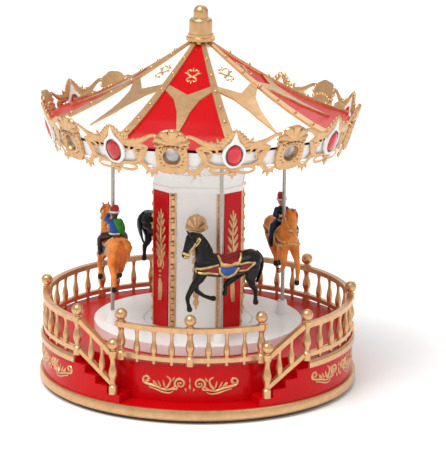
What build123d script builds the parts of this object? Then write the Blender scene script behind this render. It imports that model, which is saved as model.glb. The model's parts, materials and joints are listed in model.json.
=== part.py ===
from build123d import *
import math
import os

# Carousel music box, millimetres.  +Z up, origin at the bottom centre, front towards -Y.
# Angles around the vertical axis are counted from the front (-Y) towards +X.

# ---- driving dimensions -------------------------------------------------------------
FACE_GAP = 0.3            # between pieces of different bodies
SHAFT_GAP = 0.06          # radial, shaft in its bearing
SLIDE_GAP = 0.1           # flat faces that slide on each other

# base
PLINTH_RADIUS = 95.0
PLINTH_BOTTOM = 2.0
PLINTH_TOP = 8.3
PLINTH_LIP = 4.0          # height of the ledge that carries the drum
PLATE_SETBACK = 3.0       # the bottom plate's edge behind the plinth's
PLATE_SPIGOT_SETBACK = 5.0
FOOT_RADIUS = 5.0
FOOT_HEIGHT = 1.6
FOOT_STANDOUT = 0.8
FOOT_COUNT = 4
FOOT_CIRCLE = 78.0
DRUM_SETBACK = 2.0
DRUM_WALL = 2.5
DECK_TOP = 31.0
DECK_THICK = 2.2
DECK_OPENING = 57.0
STAIR_WIDTH = 13.5
STAIR_TOP_ANGLE = 46.8
STAIR_TREADS = 4
TREAD_ANGLE = 5.25
RIM_HEIGHT = 4.4
RIM_THICK = 1.2
RIM_SLOPE = 1.5           # height of the rim's sloping top
SCROLL_THICK = 0.9
SCROLL_LENGTH = 58.0
SCROLL_HEIGHT = 13.0
SCROLL_CENTRE = 19.5

# balustrades
POST_RADIUS = 2.5
BALL_RADIUS = 3.5
BALL_HEIGHT = 27.0        # ball centre above the post's foot
RAIL_WIDTH = 3.4
TOP_RAIL_BOTTOM = 19.5    # above the deck
TOP_RAIL_TOP = 22.4
LOW_RAIL_BOTTOM = 2.0
LOW_RAIL_TOP = 4.6
BALUSTER_RADIUS = 1.9
INNER_RAIL_SETBACK = 1.0  # rail centre line outside the front wall
OUTER_RAIL_SETBACK = 1.8  # rail centre line inside the drum's wall
INNER_POST_ANGLE = 30.2
RAIL_OVERHANG = 3.5
OUTER_BAYS = 6
OUTER_BALUSTERS = 5
INNER_BALUSTERS = 3
LOW_NEWEL_ANGLE = 29.1
LOW_NEWEL_BALL = 29.8     # ball centre above its tread
STAIR_BALUSTERS = 2

# turntable and column
TURNTABLE_RADIUS = 62.3
TURNTABLE_TOP = 37.0
TURNTABLE_THICK = 2.5
TURNTABLE_SKIRT = 1.5
POLE_CIRCLE = 52.5
POLE_ANGLE = 17.3
POLE_RADIUS = 1.1
BOSS_HEIGHT = 8.0
BOSS_TOP_RADIUS = 2.5
BOSS_FOOT_RADIUS = 4.2
PLINTH_DISC_RADIUS = 32.3
COLUMN_APOTHEM = 25.5
COLUMN_HALF_FACE = 15.8
COLUMN_WALL = 2.0
COLUMN_TOP = 148.0
BORDER_WIDTH = 3.8
BORDER_THICK = 1.0
CAPITAL_HEIGHT = 28.0     # the band round the column's head
PANEL_THICK = 0.8
CAPITAL_STEP = 1.2
ORNAMENT_THICK = 1.4
ORNAMENT_FACE = 83.0      # face height that the ornaments' outlines are drawn for

# canopy
CEILING_THICK = 1.6
CEILING_GAP = 1.0
CEILING_WALL = 1.4        # upright wall behind the fascia's openwork
ROOF_BAYS = 8
RIB_ANGLE = 15.6
ROOF_RIM_RADIUS = 92.0
ROOF_RIM_ABOVE = 11.4     # the roof's rim above the column's top
ROOF_RISE = 45.4
ROOF_TOP_RADIUS = 6.0
ROOF_CURVE = 1.3
ROOF_THICK = 1.6
ROOF_STATIONS = 7
FOLD_START = 35.0         # radius where each bay's lower fold begins
RIB_THICK = 1.3
RIB_TOP_WIDTH = 2.6
RIB_RIM_WIDTH = 6.6
RIVET_RADIUS = 1.3
RIVETS_PER_RIB = 6
FIRST_RIVET = 17.4
RIVET_PITCH = 11.9
STAR_THICK = 1.0
STAR_ARM_RADIUS = 33.5     # where the two arms meet the ribs
STAR_ARM_WIDTH = 3.0
STAR_NOTCH_RADIUS = 41.5   # bottom of the notch between the arms
STAR_SPIKE_RADIUS = 77.0
FASCIA_DROP = 4.0         # the fascia's foot below the column's top
FASCIA_HEIGHT = 23.0
FASCIA_FOOT_RADIUS = 85.4
FASCIA_LEAN = 17.7        # degrees from upright
FASCIA_THICK = 1.4
JEWEL_LEVEL = 13.0        # jewel centres above the fascia's foot
JEWEL_WIDTH = 9.0
JEWEL_HEIGHT = 12.5
JEWEL_RIM = 1.8
JEWEL_FRAME_THICK = 2.6
JEWEL_LEAF = 9.5           # leaf crest above the setting
MEDALLION_WIDTH = 19.7
MEDALLION_HEIGHT = 19.0
MEDALLION_THICK = 3.0
MEDALLION_LEVEL = 10.6    # medallion centres above the fascia's foot
MEDALLION_SINK = 0.9      # how far the flat backs are let into the curved fascia
LENS_RADIUS = 5.15
LENS_DROP = 1.4
CREST_RADIUS = 9.0
CREST_HEIGHT = 11.5
FINIAL_HEIGHT = 22.3      # above the roof's top edge
FINIAL_FLANGE = 8.65
FINIAL_BELL = 6.85
FINIAL_DOME = 4.4

# movement
GEAR_MODULE = 0.8
RING_TEETH = 90
IDLER_TEETH = 27
BARREL_TEETH = 36
PINION_TEETH = 12
FINE_MODULE = 0.4
WHEEL_TEETH = 36
WORM_TEETH = 9
PRESSURE_ANGLE = 25.0
TOOTH_TIP = 0.78          # times the module
TOOTH_ROOT = 1.1
BACKLASH = 0.15           # times the module, off each tooth
BEDPLATE_Z = 10.0
BEDPLATE_THICK = 1.5
BEDPLATE_RADIUS = 44.0
TOP_PLATE_Z = 30.5
TOP_PLATE_THICK = 1.5
TOP_PLATE_RADIUS = 33.0
GEAR_Z = 26.2
GEAR_WIDTH = 3.2
BARREL_RADIUS = 13.0
BARREL_WALL = 1.2
BARREL_BOTTOM = 14.3
SPRING_STRIP = 0.45
SPRING_TURNS = 5
CYLINDER_RADIUS = 5.5
PIN_LENGTH = 0.5
PIN_RADIUS = 0.3
COMB_TEETH = 14
ARBOR_RADIUS = 1.0
KEY_ARBOR_RADIUS = 2.0
KEY_WELL_RADIUS = 16.0
KEY_SPAN = 13.0
POST_SHAFT_RADIUS = 2.5
PILLAR_CIRCLE = 30.0
PILLAR_RADIUS = 1.6
PILLAR_ANGLES = (80, 140, 260, 320)
BOSS_CIRCLE = 40.0
BOSS_RADIUS = 3.5
SCREW_RADIUS = 1.4
IDLER_ANGLE = 200.0
CYLINDER_ANGLE = 20.0
CAM_INNER = 49.0
CAM_OUTER = 55.5
BOB_TRAVEL = 6.0
BOB_REST_SHIFT = 1.0      # two horses stand this much below mid travel, two above
FOLLOWER_Z = 23.0         # underside of a follower at mid travel
FOLLOWER_RADIUS = 1.8
POLE_END = 9.0            # the poles' tops above the column's top

# horses and riders
HORSE_RISE = 46.4         # body centre line above the turntable at mid travel
BODY_RADIUS = 6.4

# ---- values worked out from the ones above ------------------------------------------
DRUM_RADIUS = PLINTH_RADIUS - DRUM_SETBACK
FRONT_WALL_RADIUS = DRUM_RADIUS - STAIR_WIDTH
PLATE_RADIUS = PLINTH_RADIUS - PLATE_SETBACK
SPIGOT_RADIUS = PLINTH_RADIUS - PLATE_SPIGOT_SETBACK
STEP_RISE = (DECK_TOP - PLINTH_TOP) / (STAIR_TREADS + 1)
INNER_RAIL_RADIUS = FRONT_WALL_RADIUS + INNER_RAIL_SETBACK
OUTER_RAIL_RADIUS = DRUM_RADIUS - OUTER_RAIL_SETBACK
TURNTABLE_UNDER = TURNTABLE_TOP - TURNTABLE_THICK
BORDER_TOP = COLUMN_TOP - CAPITAL_HEIGHT
CEILING_Z = COLUMN_TOP + CEILING_GAP
ROOF_RIM_Z = COLUMN_TOP + ROOF_RIM_ABOVE
FASCIA_BOTTOM = COLUMN_TOP - FASCIA_DROP
FASCIA_TOP = FASCIA_BOTTOM + FASCIA_HEIGHT
JEWEL_Z = FASCIA_BOTTOM + JEWEL_LEVEL
MEDALLION_Z = FASCIA_BOTTOM + MEDALLION_LEVEL
FINIAL_TIP = ROOF_RIM_Z + ROOF_RISE + FINIAL_HEIGHT
POLE_TOP = COLUMN_TOP + POLE_END
HORSE_Z = TURNTABLE_TOP + HORSE_RISE
LEAN_TAN = math.tan(math.radians(FASCIA_LEAN))
BAY = 360 / ROOF_BAYS
HALF_BAY_COS = math.cos(math.radians(BAY / 2))
BARREL_PITCH = GEAR_MODULE * BARREL_TEETH / 2
IDLER_PITCH = GEAR_MODULE * IDLER_TEETH / 2
PINION_PITCH = GEAR_MODULE * PINION_TEETH / 2
RING_PITCH = GEAR_MODULE * RING_TEETH / 2
WHEEL_PITCH = FINE_MODULE * WHEEL_TEETH / 2
WORM_PITCH = FINE_MODULE * WORM_TEETH / 2
GEAR_TOP = GEAR_Z + GEAR_WIDTH
CAM_CREST = FOLLOWER_Z - BOB_TRAVEL / 2 - 0.4
MIN = (Align.CENTER, Align.CENTER, Align.MIN)


# ---- helpers ------------------------------------------------------------------------
def spot(radius, angle, z=0.0):
    """A point at a radius and an angle from the front."""
    turn = math.radians(angle)
    return Vector(radius * math.sin(turn), -radius * math.cos(turn), z)


def around(angle, shape):
    """Turn a shape about the vertical axis."""
    return Rot(0, 0, angle) * shape


def disc(radius, low, high, centre=(0, 0)):
    return Pos(centre[0], centre[1], low) * Cylinder(radius, high - low, align=MIN)


def ring(inner, outer, low, high):
    return disc(outer, low, high) - disc(inner, low - 1, high + 1)


def turned(outline, start=0.0, end=360.0):
    """Revolve a closed outline of (radius, z) points from one angle to another."""
    face = Plane.XZ * make_face(Polyline(*outline, close=True))
    return around(start - 90, revolve(face, Axis.Z, end - start))


def sector(inner, outer, low, high, start, end):
    """A block of a ring between two angles."""
    return turned([(inner, low), (outer, low), (outer, high), (inner, high)], start, end)


def rod(start, end, radius, end_radius=None):
    """A straight round bar or cone between two points."""
    start, end = Vector(*start), Vector(*end)
    run = end - start
    radius_2 = radius if end_radius is None else end_radius
    shape = Cylinder(radius, run.length, align=MIN)
    if abs(radius - radius_2) > 1e-6:
        shape = Cone(radius, radius_2, run.length, align=MIN)
    return Plane(origin=start, z_dir=run) * shape


def limb(points, radii):
    """A rounded chain of cones, as a leg or a neck."""
    shape = Pos(*points[0]) * Sphere(radii[0])
    for k in range(len(points) - 1):
        shape += rod(points[k], points[k + 1], radii[k], radii[k + 1])
        shape += Pos(*points[k + 1]) * Sphere(radii[k + 1] * 1.01)
    return shape


def group(shapes):
    """Separate solids kept together in one node."""
    solids = []
    for shape in shapes:
        solids.extend(shape.solids())
    return Compound(children=solids)


# ---- base ---------------------------------------------------------------------------
def base_plate():
    plate = disc(PLATE_RADIUS, FOOT_STANDOUT, PLINTH_BOTTOM)
    plate += disc(SPIGOT_RADIUS, PLINTH_BOTTOM, PLINTH_LIP)
    plate += disc(KEY_WELL_RADIUS + 2, PLINTH_LIP, BEDPLATE_Z)
    plate -= disc(KEY_WELL_RADIUS, 0, BEDPLATE_Z - 1.5)
    plate -= disc(KEY_ARBOR_RADIUS + SHAFT_GAP, 0, BEDPLATE_Z + 1)
    for k in range(FOOT_COUNT):
        foot = spot(FOOT_CIRCLE, 45 + 360 / FOOT_COUNT * k)
        plate -= disc(FOOT_RADIUS, 0, FOOT_HEIGHT, (foot.X, foot.Y))
        boss = spot(BOSS_CIRCLE, 45 + 90 * k)
        plate += disc(BOSS_RADIUS, PLINTH_LIP, BEDPLATE_Z, (boss.X, boss.Y))
    for hole in screw_places():
        plate -= disc(SCREW_RADIUS, 0, BEDPLATE_Z + 1, (hole.X, hole.Y))
        plate -= disc(SCREW_RADIUS * 2, 0, FOOT_STANDOUT + 1.6, (hole.X, hole.Y))
    return plate


def feet():
    places = [spot(FOOT_CIRCLE, 45 + 360 / FOOT_COUNT * k) for k in range(FOOT_COUNT)]
    return group([disc(FOOT_RADIUS, 0, FOOT_HEIGHT, (p.X, p.Y)) for p in places])


def screw_places():
    return [spot(BOSS_CIRCLE, 45 + 90 * k) for k in range(4)]


def assembly_screws():
    """Long screws up through the bottom plate into the bedplate."""
    screws = []
    for p in screw_places():
        centre = (p.X, p.Y)
        head = disc(SCREW_RADIUS * 2, FOOT_STANDOUT + 0.4, FOOT_STANDOUT + 1.6, centre)
        shank = disc(SCREW_RADIUS, FOOT_STANDOUT + 1.6, BEDPLATE_Z + BEDPLATE_THICK, centre)
        screws.append(head + shank)
    return group(screws)


def plinth_ring():
    step = 1.2
    outline = [
        (SPIGOT_RADIUS, PLINTH_BOTTOM), (PLINTH_RADIUS - step, PLINTH_BOTTOM),
        (PLINTH_RADIUS, PLINTH_BOTTOM + step), (PLINTH_RADIUS, PLINTH_TOP - step),
        (PLINTH_RADIUS - step / 2, PLINTH_TOP), (DRUM_RADIUS, PLINTH_TOP),
        (DRUM_RADIUS, PLINTH_LIP), (SPIGOT_RADIUS, PLINTH_LIP),
    ]
    return turned(outline)


def drum_shell():
    """Outer wall, deck, recessed front wall and the two flights of steps, moulded in one."""
    deck_under = DECK_TOP - DECK_THICK
    drum = disc(DRUM_RADIUS, PLINTH_LIP, DECK_TOP)
    drum -= disc(FRONT_WALL_RADIUS - DRUM_WALL, PLINTH_LIP - 1, deck_under)
    drum -= disc(DECK_OPENING, PLINTH_LIP - 1, DECK_TOP + 1)
    drum -= sector(FRONT_WALL_RADIUS - DRUM_WALL - 1, DRUM_RADIUS - DRUM_WALL, PLINTH_LIP - 1, deck_under,
                   STAIR_TOP_ANGLE + 2, 358 - STAIR_TOP_ANGLE)
    drum -= sector(FRONT_WALL_RADIUS, DRUM_RADIUS + 1, PLINTH_TOP, DECK_TOP + 1,
                   -STAIR_TOP_ANGLE, STAIR_TOP_ANGLE)
    for k in range(STAIR_TREADS):
        low_edge = STAIR_TOP_ANGLE - (k + 1) * TREAD_ANGLE
        tread = DECK_TOP - (k + 1) * STEP_RISE
        step_block = (FRONT_WALL_RADIUS, DRUM_RADIUS, PLINTH_TOP, tread)
        drum += sector(*step_block, low_edge, low_edge + TREAD_ANGLE)
        drum += sector(*step_block, -low_edge - TREAD_ANGLE, -low_edge)
    return drum


def drum_rim():
    """The band round the deck's edge, sloping up to the deck."""
    outer = DRUM_RADIUS + RIM_THICK
    outline = [(DRUM_RADIUS, DECK_TOP - RIM_HEIGHT), (outer, DECK_TOP - RIM_HEIGHT),
               (outer, DECK_TOP - RIM_SLOPE), (DRUM_RADIUS, DECK_TOP)]
    return turned(outline, STAIR_TOP_ANGLE, 360 - STAIR_TOP_ANGLE)


def drum_scrolls():
    """Raised ornaments: one on the front wall and five round the outer wall."""
    shapes = []
    ornament_low, ornament_high = SCROLL_CENTRE - SCROLL_HEIGHT / 2, SCROLL_CENTRE + SCROLL_HEIGHT / 2
    places = [(FRONT_WALL_RADIUS, 0)] + [(DRUM_RADIUS, 66 + 57 * k) for k in range(5)]
    for radius, angle in places:
        half = math.degrees(SCROLL_LENGTH / 2 / radius)
        bar_low, bar_high = SCROLL_CENTRE - 2, SCROLL_CENTRE + 2
        ornament = sector(radius, radius + SCROLL_THICK, bar_low, bar_high, -half, half)
        for centre in (-0.62, 0, 0.62):
            ornament += sector(radius, radius + SCROLL_THICK, ornament_low, ornament_high,
                               (centre - 0.16) * half, (centre + 0.16) * half)
        shapes.append(around(angle, ornament))
    return group(shapes)


# ---- balustrades --------------------------------------------------------------------
def newel_post(ball_height):
    """A turned post with a ball on top, standing on z = 0."""
    neck = ball_height - BALL_RADIUS * 0.85
    block = neck - 4.4
    side = Spline((POST_RADIUS, 4.6), (POST_RADIUS * 0.62, 6.2), (POST_RADIUS, block * 0.5),
                  (POST_RADIUS * 0.6, block * 0.85), (POST_RADIUS, block))
    outline = [
        Line((0, 4.6), (POST_RADIUS, 4.6)), side, Line((POST_RADIUS, block), (0, block)),
        Line((0, block), (0, 4.6)),
    ]
    post = revolve(Plane.XZ * make_face(Curve() + outline), Axis.Z)
    post += disc(POST_RADIUS, 0, 4.6) + disc(POST_RADIUS, block, block + 3.4)
    post += disc(POST_RADIUS * 0.62, block + 3.4, ball_height)
    return post + Pos(0, 0, ball_height) * Sphere(BALL_RADIUS)


def baluster(height):
    """A turned vase-shaped spindle standing on z = 0."""
    wide = BALUSTER_RADIUS
    side = Spline((wide * 0.7, 0.8), (wide, height * 0.3), (wide * 0.55, height * 0.62),
                  (wide * 0.5, height * 0.8), (wide * 0.7, height - 0.8))
    outline = [
        Line((0, 0.8), (wide * 0.7, 0.8)), side,
        Line((wide * 0.7, height - 0.8), (0, height - 0.8)), Line((0, height - 0.8), (0, 0.8)),
    ]
    spindle = revolve(Plane.XZ * make_face(Curve() + outline), Axis.Z)
    return spindle + disc(wide * 0.8, 0, 0.8) + disc(wide * 0.8, height - 0.8, height)


POST = newel_post(BALL_HEIGHT)
SPINDLE = baluster(TOP_RAIL_BOTTOM - LOW_RAIL_TOP)


def rail_run(radius, start, end):
    """The two curved rails between two angles, at deck height."""
    inner, outer = radius - RAIL_WIDTH / 2, radius + RAIL_WIDTH / 2
    top = sector(inner, outer, DECK_TOP + TOP_RAIL_BOTTOM, DECK_TOP + TOP_RAIL_TOP, start, end)
    low = sector(inner + 0.3, outer - 0.3, DECK_TOP + LOW_RAIL_BOTTOM, DECK_TOP + LOW_RAIL_TOP, start, end)
    return [top, low]


def balustrade(radius, post_angles, spindles, overhang):
    """Posts at the given angles with spindles between each pair, standing on the deck."""
    first, last = post_angles[0] - overhang, post_angles[-1] + overhang
    pieces = rail_run(radius, first, last)
    for k, angle in enumerate(post_angles):
        pieces.append(Pos(*spot(radius, angle, DECK_TOP)) * POST)
        if k + 1 == len(post_angles):
            break
        gap = (post_angles[k + 1] - angle) / (spindles + 1)
        for j in range(spindles):
            place = angle + gap * (j + 1)
            pieces.append(Pos(*spot(radius, place, DECK_TOP + LOW_RAIL_TOP)) * SPINDLE)
            pieces.append(Pos(*spot(radius, place, DECK_TOP)) * disc(1.0, 0, LOW_RAIL_BOTTOM))
    return Part() + pieces


def front_balustrade():
    overhang = math.degrees(RAIL_OVERHANG / INNER_RAIL_RADIUS)
    posts = [-INNER_POST_ANGLE, 0, INNER_POST_ANGLE]
    return balustrade(INNER_RAIL_RADIUS, posts, INNER_BALUSTERS, overhang)


def rear_balustrade():
    span = 360 - 2 * STAIR_TOP_ANGLE
    angles = [STAIR_TOP_ANGLE + span / OUTER_BAYS * k for k in range(OUTER_BAYS + 1)]
    return balustrade(OUTER_RAIL_RADIUS, angles, OUTER_BALUSTERS, 0)


def stair_rail(side):
    """The sloped rail of one flight, from the deck's end post down to the low newel."""
    high = side * (STAIR_TOP_ANGLE - 1.7)
    low = side * LOW_NEWEL_ANGLE
    tread = DECK_TOP - STAIR_TREADS * STEP_RISE
    drop = BALL_HEIGHT + DECK_TOP - (tread + LOW_NEWEL_BALL)
    pieces = [Pos(*spot(OUTER_RAIL_RADIUS, low, tread)) * newel_post(LOW_NEWEL_BALL)]
    middle = Vector(*spot(1, (high + low) / 2))
    spindle_height = TOP_RAIL_BOTTOM - LOW_RAIL_TOP + 1.6
    for bottom, top, width in ((TOP_RAIL_BOTTOM, TOP_RAIL_TOP, RAIL_WIDTH),
                               (LOW_RAIL_BOTTOM, LOW_RAIL_TOP, RAIL_WIDTH - 0.6)):
        centre = DECK_TOP + (bottom + top) / 2
        upper, lower = spot(OUTER_RAIL_RADIUS, high, centre), spot(OUTER_RAIL_RADIUS, low, centre - drop)
        run = lower - upper
        across = Plane(origin=upper, x_dir=middle, z_dir=run)
        pieces.append(across * Box(width, top - bottom, run.length, align=MIN))
    for k in range(STAIR_BALUSTERS):
        share = (k + 1) / (STAIR_BALUSTERS + 1)
        start, end = spot(OUTER_RAIL_RADIUS, high), spot(OUTER_RAIL_RADIUS, low)
        place = start + (end - start) * share
        foot = DECK_TOP + LOW_RAIL_TOP - 0.8 - drop * share
        pieces.append(Pos(place.X, place.Y, foot) * baluster(spindle_height))
    rail = Part() + pieces
    end_post = Pos(*spot(OUTER_RAIL_RADIUS, side * STAIR_TOP_ANGLE, DECK_TOP)) * POST
    return rail - end_post - rear_rail_ends()


def rear_rail_ends():
    span = 360 - 2 * STAIR_TOP_ANGLE
    return Part() + rail_run(OUTER_RAIL_RADIUS, STAIR_TOP_ANGLE, STAIR_TOP_ANGLE + span)


# ---- column -------------------------------------------------------------------------
def column_outline(grow):
    """The column's eight-sided section: four wide faces and four narrow ones."""
    a, b = COLUMN_APOTHEM + grow, COLUMN_HALF_FACE + grow * math.tan(math.radians(22.5))
    corners = [(-b, -a), (b, -a), (a, -b), (a, b), (b, a), (-b, a), (-a, b), (-a, -b)]
    return make_face(Polyline(*corners, close=True))


def column_block(grow, low, high):
    return Pos(0, 0, low) * extrude(column_outline(grow), high - low)


def column_plinth():
    """The still disc inside the turntable that carries the column."""
    solid = disc(PLINTH_DISC_RADIUS, TOP_PLATE_Z + TOP_PLATE_THICK, TURNTABLE_TOP)
    return solid - disc(POST_SHAFT_RADIUS, 0, TURNTABLE_TOP + 1)


def column_shell():
    shell = column_block(0, TURNTABLE_TOP, COLUMN_TOP)
    shell -= column_block(-COLUMN_WALL, TURNTABLE_TOP - 1, COLUMN_TOP - COLUMN_WALL)
    return shell - disc(POST_SHAFT_RADIUS, TURNTABLE_TOP, COLUMN_TOP + 1)


def column_red_panels():
    width = (COLUMN_APOTHEM - COLUMN_HALF_FACE) * math.sqrt(2) - 1.0
    distance = (COLUMN_APOTHEM + COLUMN_HALF_FACE) / math.sqrt(2)
    height = BORDER_TOP - TURNTABLE_TOP
    panel = Pos(0, -distance - PANEL_THICK / 2, TURNTABLE_TOP) * Box(width, PANEL_THICK, height, align=MIN)
    return group([around(45 + 90 * k, panel) for k in range(4)])


def column_borders():
    """An upright strip along both edges of each wide face."""
    strip = Box(BORDER_WIDTH, BORDER_THICK, BORDER_TOP - TURNTABLE_TOP, align=MIN)
    middle = COLUMN_HALF_FACE - BORDER_WIDTH / 2
    strips = []
    for side in (-1, 1):
        placed = Pos(side * middle, -COLUMN_APOTHEM - BORDER_THICK / 2, TURNTABLE_TOP) * strip
        strips += [around(90 * k, placed) for k in range(4)]
    return group(strips)


def ornament_face(half):
    """A mirrored outline, its heights given above the turntable and stretched to the column."""
    stretch = (BORDER_TOP - TURNTABLE_TOP) / ORNAMENT_FACE
    right = [(x, TURNTABLE_TOP + z * stretch) for x, z in half]
    left = [(-x, z) for x, z in reversed(right) if x > 0]
    return make_face(Polyline(*(right + left), close=True))


def column_ornaments():
    """A shell over a long drop on each white face and a slim drop on each red one."""
    shapes = []
    wide_plane = Plane(origin=(0, -COLUMN_APOTHEM, 0), x_dir=(1, 0, 0), z_dir=(0, -1, 0))
    half = [(1.2, 13), (4.2, 31), (2.6, 47), (6.5, 60), (6.5, 66), (0, 72)]
    wide = extrude(wide_plane * ornament_face(half), ORNAMENT_THICK)
    distance = (COLUMN_APOTHEM + COLUMN_HALF_FACE) / math.sqrt(2) + PANEL_THICK
    slim_plane = Plane(origin=(0, -distance, 0), x_dir=(1, 0, 0), z_dir=(0, -1, 0))
    slim_half = [(0.8, 9), (3.2, 25), (3.2, 67), (0, 75)]
    slim = extrude(slim_plane * ornament_face(slim_half), ORNAMENT_THICK)
    for k in range(4):
        shapes.append(around(90 * k, wide))
        shapes.append(around(45 + 90 * k, slim))
    return group(shapes)


def column_capital():
    """The stepped band round the head of the column."""
    band = column_block(CAPITAL_STEP, BORDER_TOP, BORDER_TOP + 3)
    band += column_block(CAPITAL_STEP * 0.5, BORDER_TOP + 3, COLUMN_TOP - 4)
    band += column_block(CAPITAL_STEP * 1.5, COLUMN_TOP - 4, COLUMN_TOP)
    return band - column_block(0, BORDER_TOP - 1, COLUMN_TOP + 1)


def centre_post():
    low = TOP_PLATE_Z + TOP_PLATE_THICK
    return disc(POST_SHAFT_RADIUS, low, roof_height(ROOF_TOP_RADIUS) - 3)


# ---- turntable ----------------------------------------------------------------------
def turntable():
    inner = PLINTH_DISC_RADIUS + FACE_GAP
    top = ring(inner, TURNTABLE_RADIUS, TURNTABLE_UNDER, TURNTABLE_TOP)
    top += ring(TURNTABLE_RADIUS - TURNTABLE_SKIRT, TURNTABLE_RADIUS, DECK_TOP + FACE_GAP, TURNTABLE_UNDER)
    boss = Pos(0, 0, TURNTABLE_TOP) * Cone(BOSS_FOOT_RADIUS, BOSS_TOP_RADIUS, BOSS_HEIGHT, align=MIN)
    bore_top = TURNTABLE_TOP + BOSS_HEIGHT + 1
    for k in range(4):
        place = spot(POLE_CIRCLE, POLE_ANGLE + 90 * k)
        top += Pos(*place) * boss
        top -= disc(POLE_RADIUS + SHAFT_GAP, TURNTABLE_UNDER - 1, bore_top, (place.X, place.Y))
    return top


def glide_ring():
    """The slippery ring on the deck's edge that the turntable runs on."""
    outer = TURNTABLE_RADIUS - TURNTABLE_SKIRT - FACE_GAP
    return ring(DECK_OPENING, outer, DECK_TOP, TURNTABLE_UNDER - SLIDE_GAP)


def wave_cam():
    """A standing ring whose top edge rises and falls twice round."""
    wave = BOB_TRAVEL / 2
    middle = CAM_CREST - wave
    mean_radius = (CAM_INNER + CAM_OUTER) / 2
    reach = CAM_OUTER + 1
    edge = middle + wave * (2 * (reach / mean_radius) ** 2 - 1)
    bottom = middle - wave
    # the top edge is a parabola: height = middle + wave * (2 x^2 / r^2 - 1)
    dip = 2 * bottom - edge
    top_edge = Bezier((-reach, edge), (0, dip), (reach, edge))
    outline = [top_edge, Line((reach, edge), (reach, PLINTH_LIP)),
               Line((reach, PLINTH_LIP), (-reach, PLINTH_LIP)), Line((-reach, PLINTH_LIP), (-reach, edge))]
    prism = extrude(Plane.XZ * make_face(Curve() + outline), 2 * reach, both=True)
    rest_share = BOB_REST_SHIFT / wave
    crest = POLE_ANGLE - math.degrees(math.acos(-rest_share)) / 2
    return ring(CAM_INNER, CAM_OUTER, PLINTH_LIP, edge) & around(crest - 90, prism)


# ---- gears --------------------------------------------------------------------------
def involute(angle):
    return math.tan(angle) - angle


def gear_face(teeth, module, tip, root, slack, phase):
    """A spur gear's outline with one tooth centred on the phase angle."""
    pitch = module * teeth / 2
    base = pitch * math.cos(math.radians(PRESSURE_ANGLE))
    half = (math.pi * module / 2 - slack) / (2 * pitch)
    radii = [pitch + tip, pitch + tip / 2, pitch, max(pitch - root / 2, base), pitch - root]
    flank = []
    for radius in radii:
        reach = max(radius, base)
        spread = half + involute(math.radians(PRESSURE_ANGLE)) - involute(math.acos(base / reach))
        flank.append((radius, math.degrees(spread)))
    outline = []
    for k in range(teeth):
        centre = phase + 360 / teeth * k
        outline += [spot(r, centre - a) for r, a in reversed(flank)]
        outline += [spot(r, centre + a) for r, a in flank]
    return make_face(Polyline(*[(p.X, p.Y) for p in outline], close=True))


def gear(teeth, module, phase, low, high):
    face = gear_face(teeth, module, TOOTH_TIP * module, TOOTH_ROOT * module, BACKLASH * module, phase)
    return Pos(0, 0, low) * extrude(face, high - low)


IDLER_PLACE = spot(BARREL_PITCH + IDLER_PITCH, IDLER_ANGLE)
CYLINDER_PLACE = spot(BARREL_PITCH + PINION_PITCH, CYLINDER_ANGLE)
GOVERNOR_ANGLE = CYLINDER_ANGLE + 90
GOVERNOR_PLACE = CYLINDER_PLACE + spot(WHEEL_PITCH + WORM_PITCH, GOVERNOR_ANGLE)


def ring_gear():
    """The toothed ring under the turntable."""
    outer = RING_PITCH + 4
    low = GEAR_Z - 0.2
    blank = ring(RING_PITCH + 2, outer, low, TURNTABLE_UNDER)
    blank += ring(RING_PITCH - 2, outer - 1, low, GEAR_TOP + 0.5)
    face = gear_face(RING_TEETH, GEAR_MODULE, TOOTH_ROOT * GEAR_MODULE, TOOTH_TIP * GEAR_MODULE,
                     -BACKLASH * GEAR_MODULE, IDLER_ANGLE)
    return blank - Pos(0, 0, low - 1) * extrude(face, GEAR_WIDTH + 3)


def spring_barrel():
    """The mainspring's drum with its great wheel, open below its cover."""
    floor = BARREL_BOTTOM + 1
    drum = disc(BARREL_RADIUS, BARREL_BOTTOM, GEAR_Z)
    drum -= disc(BARREL_RADIUS - BARREL_WALL, floor, GEAR_Z)
    drum += disc(KEY_ARBOR_RADIUS + 2, BEDPLATE_Z + BEDPLATE_THICK + SLIDE_GAP, BARREL_BOTTOM)
    drum += gear(BARREL_TEETH, GEAR_MODULE, IDLER_ANGLE, GEAR_Z, GEAR_TOP)
    return drum - disc(KEY_ARBOR_RADIUS + SHAFT_GAP, BEDPLATE_Z, GEAR_TOP + 1)


def mainspring():
    """A flat strip wound as half turns about two centres."""
    inner = KEY_ARBOR_RADIUS + 1.4
    outer = BARREL_RADIUS - BARREL_WALL - SPRING_STRIP / 2
    step = (outer - inner) / (2 * SPRING_TURNS)
    strip = None
    for k in range(2 * SPRING_TURNS):
        radius = inner + step * (k + 0.5)
        shift = step / 2 if k % 2 else -step / 2
        half = ring(radius - SPRING_STRIP / 2, radius + SPRING_STRIP / 2, 0, 1)
        side = Pos(0, (outer + 1) * (1 if k % 2 else -1), -1)
        side = side * Box(4 * outer, 2 * outer + 2, 3, align=MIN)
        half = Pos(shift, 0, 0) * (half & side)
        strip = half if strip is None else strip + half
    low, high = BARREL_BOTTOM + 1, GEAR_Z - 0.4
    return Pos(0, 0, low) * scale(strip, by=(1, 1, high - low))


def idler_gear():
    centre = (IDLER_PLACE.X, IDLER_PLACE.Y)
    wheel = Pos(*IDLER_PLACE) * gear(IDLER_TEETH, GEAR_MODULE, IDLER_ANGLE, GEAR_Z + 0.1, GEAR_TOP - 0.1)
    return wheel + disc(ARBOR_RADIUS, BEDPLATE_Z + 0.2, TOP_PLATE_Z + 1, centre)


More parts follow.
